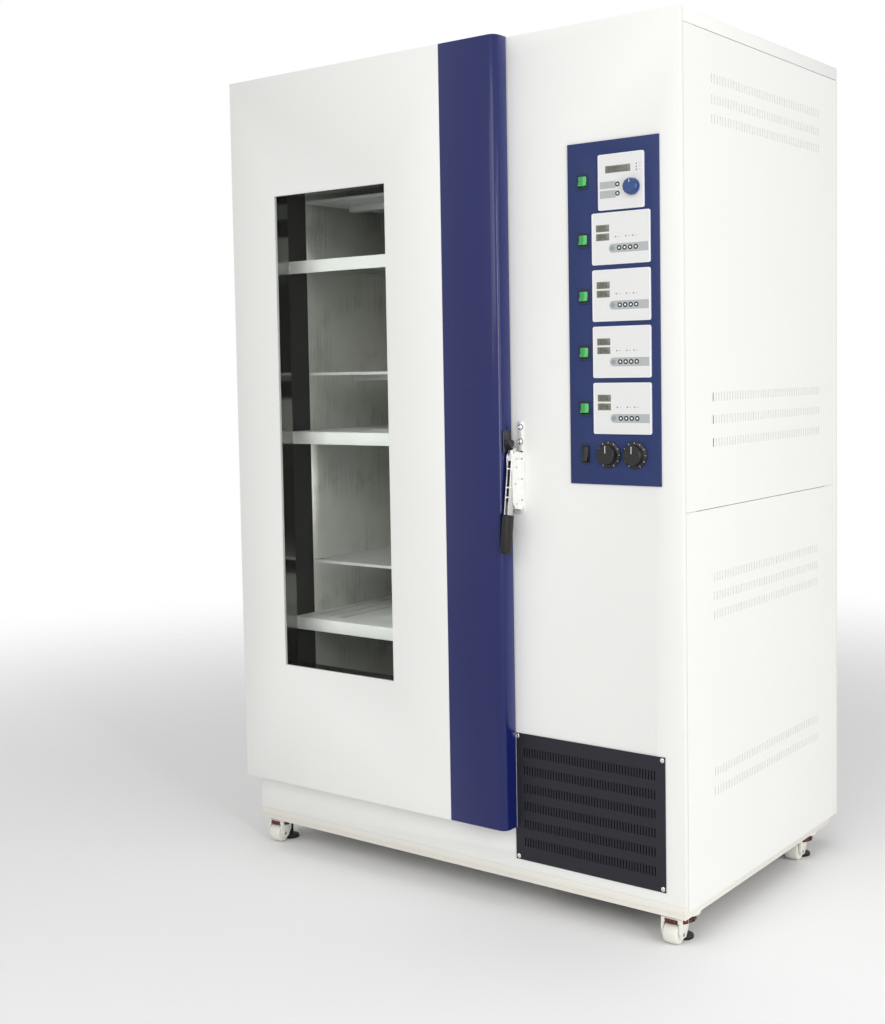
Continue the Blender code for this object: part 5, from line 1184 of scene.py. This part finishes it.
@dataclass
class Latch:
    """The lever latch on the cabinet's front: a flanged channel, a keeper, a lever, its link and the grip."""

    flange: float = 0.003
    seat: float = 0.0003
    sheet: float = 0.002
    channel: float = 0.0165
    length: float = 0.143
    reach: float = 0.034
    chamfer: float = 0.006
    keeper_width: float = 0.015
    bolt_radius: float = 0.0070
    bolt_places: Sequence[float] = (0.0535, 0.0210)
    pivot: Spot = (-0.409, 1.048)
    pivot_radius: float = 0.0034
    pivot_end: float = 0.0008
    tilt: float = 8.0
    rivets: Sequence[Spot] = ((-0.404, 1.0405), (-0.404, 1.022), (-0.404, 0.939), (-0.409, 0.985))
    flange_screws: Sequence[Spot] = ((0.2247, 1.0401), (0.2243, 0.9946), (0.2240, 0.9467))
    pin_drops: Sequence[float] = (0.030, 0.072, 0.094)

    def __post_init__(self) -> None:
        """Finds the bracket's box and the flange's face."""
        self.low, self.high, _ = box("latch_bracket")
        self.face = FRONT - self.seat - self.flange

    def build(self) -> None:
        """Builds the latch."""
        self.bracket()
        self.bolts()
        self.fixings()
        self.link()
        eased_copy("latch_lever", Finishes.CHROME, 0.0005)
        eased_copy("latch_grip", Finishes.GRIP_VINYL, 0.0045)

    def bracket(self) -> None:
        """Makes the flange, the channel's two cheeks, the keeper and the lever's pin."""
        low, high, face, cut = self.low, self.high, self.face, self.chamfer
        top = low.z + self.length
        flange = [(low.x, low.z + 0.002), (low.x + 0.002, low.z), (high.x - cut, low.z),
                  (high.x, low.z + cut), (high.x, top - cut / 2), (high.x - cut / 2, top), (low.x, top)]
        form = Form().add(plate([flange], self.flange), upright(face))
        front = FRONT - self.reach
        cheek = [(face + 0.001, low.z + 0.010), (front + 0.010, low.z + 0.014),
                 (front + 0.002, low.z + 0.024), (front, low.z + 0.032), (front, top - 0.012),
                 (front + 0.003, top - 0.005), (front + 0.010, top - 0.001), (face + 0.001, top - 0.001)]
        for x in (low.x, low.x + self.channel - self.sheet):
            form.add(plate([cheek], self.sheet), shift(x, 0, 0) @ TURN_SIDE)
        keeper = (high.x - self.keeper_width, face, top - 0.004)
        form.add(block(keeper, (high.x, FRONT - self.seat, high.z), 0.003, Axis.Y, 0.0006))
        y, z = self.pivot
        ends = ((low.x - self.pivot_end, y, z), (low.x + self.channel + self.pivot_end, y, z))
        form.add(rod(*ends, self.pivot_radius, 0.0006, 16))
        form.piece("latch_bracket_formed", Finishes.ZINC_PLATE, replaces=["latch_bracket"])

    def bolts(self) -> None:
        """Makes the keeper's two dome bolts on black washers."""
        size = self.bolt_radius
        dome = in_radii(size, (0.0, 0.0035), (0.34, 0.0035), (0.40, 0.0052), (0.62, 0.0047),
                        (0.84, 0.0030), (0.90, 0.0014), (0.90, 0.0))
        washer = in_radii(size, (0.0, 0.0), (1.0, 0.0), (1.0, 0.0007), (0.0, 0.0007))
        heads, washers = Form(), Form()
        for rise in self.bolt_places:
            at = (self.high.x - self.keeper_width / 2, self.face, self.low.z + self.length + rise)
            heads.add(turned(dome, at, FORWARD, 20))
            washers.add(turned(washer, at, FORWARD, 24))
        heads.piece("keeper_bolts", Finishes.CHROME)
        washers.piece("keeper_washers", Finishes.BLACK_PLASTIC)

    def fixings(self) -> None:
        """Makes the rivet heads on the right cheek and the flange's screws."""
        form = Form()
        dome = [(0.0021, 0.0), (0.0019, 0.0004), (0.0011, 0.0008), (0.0, 0.0009)]
        for y, z in self.rivets:
            form.add(turned(dome, (self.low.x + self.channel, y, z), (1, 0, 0), 14))
        for x, z in self.flange_screws:
            form.add(dome_screw((x, self.face, z), FORWARD, 0.0023, 0.0009))
        form.piece("latch_rivets", Finishes.STEEL)

    def link(self) -> None:
        """Makes the flat link in the lever's trough, with the pins through it."""
        place = shift(self.low.x + self.channel / 2, *self.pivot)
        place = place @ Matrix.Rotation(math.radians(-self.tilt), 4, "X")
        form = Form().add(block((-0.0022, -0.0040, -0.100), (0.0022, 0.0030, -0.020), 0.002, Axis.X), place)
        form.piece("lever_link", Finishes.MACHINE_BLACK, Body.LATCH.value, slot="steel")
        pins = Form()
        for drop in self.pin_drops:
            pins.add(rod((-0.0062, -0.0042, -drop), (0.0062, -0.0042, -drop), 0.0024, 0.0004, 14), place)
        pins.piece("lever_pins", Finishes.CHROME, Body.LATCH.value)


@dataclass
class Chamber:
    """The stainless chamber with its duct, shelves, drives and shaking platforms."""

    liner_skin: float = 0.0012
    strip_front: float = 0.098
    strip_rear: float = 0.170
    strip: float = 0.0006
    band_screw_drop: float = 0.101
    band_screw_inset: float = 0.012
    plate_thickness: float = 0.007
    hole_radius: float = 0.0034
    hole_columns: int = 11
    hole_rows: int = 9
    hole_margin: float = 0.040
    bar_width: float = 0.030
    bar_inset: float = 0.0507
    bar_height: float = 0.016
    bite: float = 0.0002
    boss_radius: float = 0.026
    bore_radius: float = 0.0093
    screw_inset: float = 0.016

    def build(self) -> None:
        """Builds what is in the chamber."""
        eased_copy("chamber_liner", Finishes.STAINLESS)
        eased_copy("duct_cover", Finishes.DUCT_COVER, 0.0004)
        eased_copy("circulation_fan", Finishes.STEEL)
        self.wall_strips()
        for shelf in SHELVES:
            eased_copy(f"shelf_{shelf}", Finishes.SHELF_PAINT, 0.0006)
        self.band_screws()
        for tier in TIERS:
            eased_copy(f"crank_{tier}", Finishes.STEEL, 0.0004)
            self.platform(tier)

    def wall_strips(self) -> None:
        """Makes the dark upright strips on the chamber's side walls, by its mouth."""
        low, high, _ = box("chamber_liner")
        skin = self.liner_skin
        form = Form()
        for x in (low.x + skin, high.x - skin - self.strip):
            form.add(block((x, FRONT + self.strip_front, low.z + skin),
                           (x + self.strip, FRONT + self.strip_rear, high.z - skin)))
        form.piece("wall_strips", Finishes.WALL_STRIP)

    def band_screws(self) -> None:
        """Makes the white screws at the ends and the middle of each shelf's front band."""
        form = Form()
        for shelf in SHELVES:
            low, high, _ = box(f"shelf_{shelf}")
            for x in spread(low.x, high.x, self.band_screw_inset, 3):
                form.add(dome_screw((x, low.y, high.z - self.band_screw_drop), FORWARD, 0.0036, 0.0016))
        form.piece("band_screws", Finishes.SHELF_PAINT)

    def platform(self, tier: int) -> None:
        """Makes a drilled platform on its two bars, with its boss and a screw at each corner.

        Args:
            tier: which tier, counted from the top.
        """
        node, body = f"platform_{tier}", f"tier_{tier}_platform"
        low, high, middle = box(node)
        under = high.z - self.plate_thickness
        rings = [rounded(low.x, low.y, high.x, high.y, 0.004, 3)]
        for x in spread(low.x, high.x, self.hole_margin, self.hole_columns):
            for y in spread(low.y, high.y, self.hole_margin, self.hole_rows):
                rings.append(arc(x, y, self.hole_radius, 0.0, 0.9, 9))
        form = Form().add(plate(rings, self.plate_thickness), shift(0, 0, under))
        for side in (-1, 1):
            y = middle.y + side * (high.y - low.y) / 4
            form.add(block(
                (low.x + self.bar_inset, y - self.bar_width / 2, under - self.bar_height),
                (high.x - self.bar_inset, y + self.bar_width / 2, under + self.bite), 0.0, Axis.Y, 0.001,
            ))
        bore, boss, tall = self.bore_radius, self.boss_radius, under - low.z + self.bite
        wall = [(bore, 0.0), (boss - 0.001, 0.0), (boss, 0.001), (boss, tall), (bore, tall), (bore, 0.0)]
        form.add(turned(wall, (middle.x, middle.y, low.z), (0, 0, 1), 32))
        form.piece(f"{node}_drilled", Finishes.PLATFORM_ALLOY, body, [node])
        screws = Form()
        for x in spread(low.x, high.x, self.screw_inset):
            for y in spread(low.y, high.y, self.screw_inset):
                screws.add(dome_screw((x, y, high.z), (0, 0, 1), 0.0055, 0.0022))
        screws.piece(f"platform_screws_{tier}", Finishes.CHROME, body, slot="steel")


@dataclass
class Machinery:
    """The refrigeration unit behind the grille."""

    def build(self) -> None:
        """Builds the unit and its fan."""
        eased_copy("condensing_unit", Finishes.MACHINE_BLACK, 0.0004)
        eased_copy("condenser_fan", Finishes.MACHINE_BLACK)


@dataclass
class Caster:
    """One levelling caster: its body, wheel, screw foot and collar."""

    number: int
    ring_marks: int = 12
    ring_bottom: float = 0.0399
    collar_bottom: float = 0.0487
    collar_height: float = 0.0086
    collar_radius: float = 0.0335
    collar_wall: float = 0.0035
    collar_setback: float = 0.0275
    collar_sweep: float = 70.0
    collar_steps: int = 28
    mark_reach: int = 60
    mark_step: int = 15
    wheel_width: float = 0.034
    cheek_gap: float = 0.0072

    def build(self) -> None:
        """Builds the caster."""
        eased_copy(f"caster_body_{self.number}", Finishes.IVORY_PLASTIC, 0.0008)
        self.wheel()
        self.foot()
        self.collar()

    def collar(self) -> None:
        """Makes the dark collar over the wheel, with its red marks."""
        _, _, middle = box(f"levelling_foot_{self.number}")
        body = f"caster_{self.number}"
        outer, sweep = self.collar_radius, self.collar_sweep / 360
        ring = arc(0, 0, outer, -0.25 - sweep, sweep - 0.25, self.collar_steps)
        ring += arc(0, 0, outer - self.collar_wall, sweep - 0.25, -0.25 - sweep, self.collar_steps)
        place = shift(middle.x, middle.y - self.collar_setback, self.collar_bottom)
        form = Form().add(plate([ring], self.collar_height), place)
        form.piece(f"caster_collar_{self.number}", Finishes.BLACK_PLASTIC, body)
        marks = Form()
        for degrees in range(-self.mark_reach, self.mark_reach + 1, self.mark_step):
            mark = block((-0.0030, -outer - 0.0003, 0.0034), (0.0030, -outer + 0.0008, 0.0076))
            marks.add(mark, place @ Matrix.Rotation(math.radians(degrees), 4, "Z"))
        marks.piece(f"collar_marks_{self.number}", Finishes.RING_PRINT, body)

    def wheel(self) -> None:
        """Makes a barrel wheel and the axle bolts beside it."""
        node = f"caster_wheel_{self.number}"
        low, high, middle = box(node)
        radius = (high.z - low.z) / 2
        half = in_radii(radius, (0.0, 0.0), (0.84, 0.0), (0.93, 0.0016), (0.975, 0.006), (1.0, 0.013))
        barrel = [*half, *((out, self.wheel_width - up) for out, up in reversed(half))]
        form = Form().add(turned(barrel, (low.x, middle.y, middle.z), (1, 0, 0), 44))
        form.piece(f"{node}_barrel", Finishes.IVORY_PLASTIC, f"wheel_{self.number}", [node])
        bolts = Form()
        for side in (-1, 1):
            at = (middle.x + side * (self.wheel_width / 2 + self.cheek_gap), middle.y, middle.z)
            bolts.add(dome_screw(at, (side, 0, 0), 0.0045, 0.0012))
        bolts.piece(f"axle_bolts_{self.number}", Finishes.STEEL, f"caster_{self.number}")

    def foot(self) -> None:
        """Makes a screw foot and the red marks round its dark ring."""
        node = f"levelling_foot_{self.number}"
        eased_copy(node, Finishes.BLACK_RUBBER, 0.0006, "foot_steel")
        low, high, middle = box(node)
        radius = (high.x - low.x) / 2
        form = Form()
        for step in range(self.ring_marks):
            mark = block((radius - 0.0008, -0.0034, self.ring_bottom + 0.0024),
                         (radius + 0.0002, 0.0034, self.ring_bottom + 0.0068))
            spin = Matrix.Rotation(math.tau * step / self.ring_marks, 4, "Z")
            form.add(mark, shift(middle.x, middle.y, 0.0) @ spin)
        form.piece(f"ring_marks_{self.number}", Finishes.RING_PRINT, f"foot_{self.number}", slot="foot_steel")


@dataclass
class Studio:
    """Floor, light and the camera at the photograph's place."""

    eye: Point = (2.00133, -3.02803, 1.24693)
    azimuth: float = 0.65736
    pitch: float = -0.06164
    roll: float = -0.01815
    focal: float = 1412.13
    centre: Spot = (430.18, 455.64)
    image: tuple[int, int] = (885, 1024)
    sensor: float = 36.0
    clip: Spot = (0.05, 60.0)
    floor_radius: float = 7.0
    floor_fade: Spot = (1.3, 4.5)
    floor_tone: float = 0.93
    ambient: float = 0.46
    aim: Point = (0.0, 0.0, 1.0)

    def build(self) -> None:
        """Sets up the studio."""
        self.camera()
        self.floor()
        self.world()
        self.lamps()

    def camera(self) -> None:
        """Places the camera, its lens and its shift."""
        az, pitch = self.azimuth, self.pitch
        ahead = Vector((-math.sin(az) * math.cos(pitch), math.cos(az) * math.cos(pitch), math.sin(pitch)))
        right = Vector((math.cos(az), math.sin(az), 0.0))
        up = right.cross(ahead)
        across = right * math.cos(self.roll) + up * math.sin(self.roll)
        above = up * math.cos(self.roll) - right * math.sin(self.roll)
        data = bpy.data.cameras.new("camera")
        data.sensor_width = self.sensor
        data.lens = self.focal * self.sensor / self.image[1]
        data.shift_x = (self.image[0] / 2 - self.centre[0]) / self.image[1]
        data.shift_y = (self.centre[1] - self.image[1] / 2) / self.image[1]
        data.clip_start, data.clip_end = self.clip
        camera = bpy.data.objects.new("camera", data)
        rows = Matrix((across, above, -ahead)).transposed()
        camera.matrix_world = Matrix.Translation(self.eye) @ rows.to_4x4()
        bpy.context.scene.collection.objects.link(camera)
        bpy.context.scene.camera = camera

    def floor(self) -> None:
        """Lays a pale floor that fades into the white background."""
        part = bmesh.new()
        bmesh.ops.create_circle(part, cap_ends=True, segments=64, radius=self.floor_radius)
        floor = new_object("floor", part)
        made = bpy.data.materials.new("floor")
        made.use_nodes = True
        tree = Tree(made.node_tree)
        reach = tree.node("VectorMath", {0: tree.place()}, operation="LENGTH").outputs["Value"]
        near, far = self.floor_fade
        fade = tree.node(
            "MapRange", {0: reach, 1: near, 2: far, 3: 1.0, 4: 0.0}, interpolation_type="SMOOTHSTEP",
        )
        tree.feed(made.node_tree.nodes["Principled BSDF"], {
            "Base Color": (*[self.floor_tone] * 3, 1.0), "Roughness": 0.7, "Specular IOR Level": 0.1,
            "Alpha": fade.outputs[0],
        })
        floor.data.materials.append(made)

    def world(self) -> None:
        """Sets a white background and a plain soft ambient light."""
        world = bpy.data.worlds.new("studio")
        world.use_nodes = True
        bpy.context.scene.world = world
        tree = Tree(world.node_tree)
        path = tree.node("LightPath").outputs
        seen = tree.maths("MAXIMUM", path["Is Camera Ray"], path["Is Transmission Ray"])
        seen = tree.maths("MAXIMUM", seen, path["Is Glossy Ray"])
        light = tree.blend(seen, (*[self.ambient] * 3, 1.0), (1.0, 1.0, 1.0, 1.0))
        tree.feed(world.node_tree.nodes["Background"], {"Color": light, "Strength": 1.0})

    def lamp(self, name: str, at: Point, size: Spot, power: float, aim: Point) -> None:
        """Hangs one softbox that faces a point.

        Args:
            name: its name.
            at: its place.
            size: its width and height.
            power: its power in watts.
            aim: the point it faces.
        """
        data = bpy.data.lights.new(name, "AREA")
        data.shape = "RECTANGLE"
        data.size, data.size_y = size
        data.energy = power
        lamp = bpy.data.objects.new(name, data)
        turn = (Vector(aim) - Vector(at)).to_track_quat("-Z", "Y").to_matrix().to_4x4()
        lamp.matrix_world = Matrix.Translation(at) @ turn
        bpy.context.scene.collection.objects.link(lamp)

    def lamps(self) -> None:
        """Hangs the softboxes."""
        self.lamp("key", (1.4, -4.6, 3.2), (2.6, 2.4), 56.0, self.aim)
        self.lamp("side", (4.6, -0.4, 2.0), (2.4, 3.0), 47.0, self.aim)
        self.lamp("left", (-0.9, -5.0, 2.8), (1.6, 2.4), 22.0, self.aim)
        self.lamp("top", (0.0, 0.0, 5.0), (3.5, 3.5), 40.0, self.aim)
        self.lamp("edge", (3.5, -2.2, 1.55), (0.45, 3.0), 46.0, (0.2, -0.4, 1.55))


def main() -> None:
    """Builds the sub-assemblies in order, then the studio."""
    logging.basicConfig(level=logging.INFO, format="%(name)s: %(message)s")
    bpy.context.scene.view_settings.view_transform = "Standard"
    casters = [Caster(number) for number in CASTERS]
    for part in (
        CabinetSkins(), Door(), FrontGrille(), ControlPanel(), Latch(), Chamber(), Machinery(), *casters,
        Studio(),
    ):
        LOG.info("building %s", type(part).__name__)
        part.build()


if __name__ == "__main__":
    main()
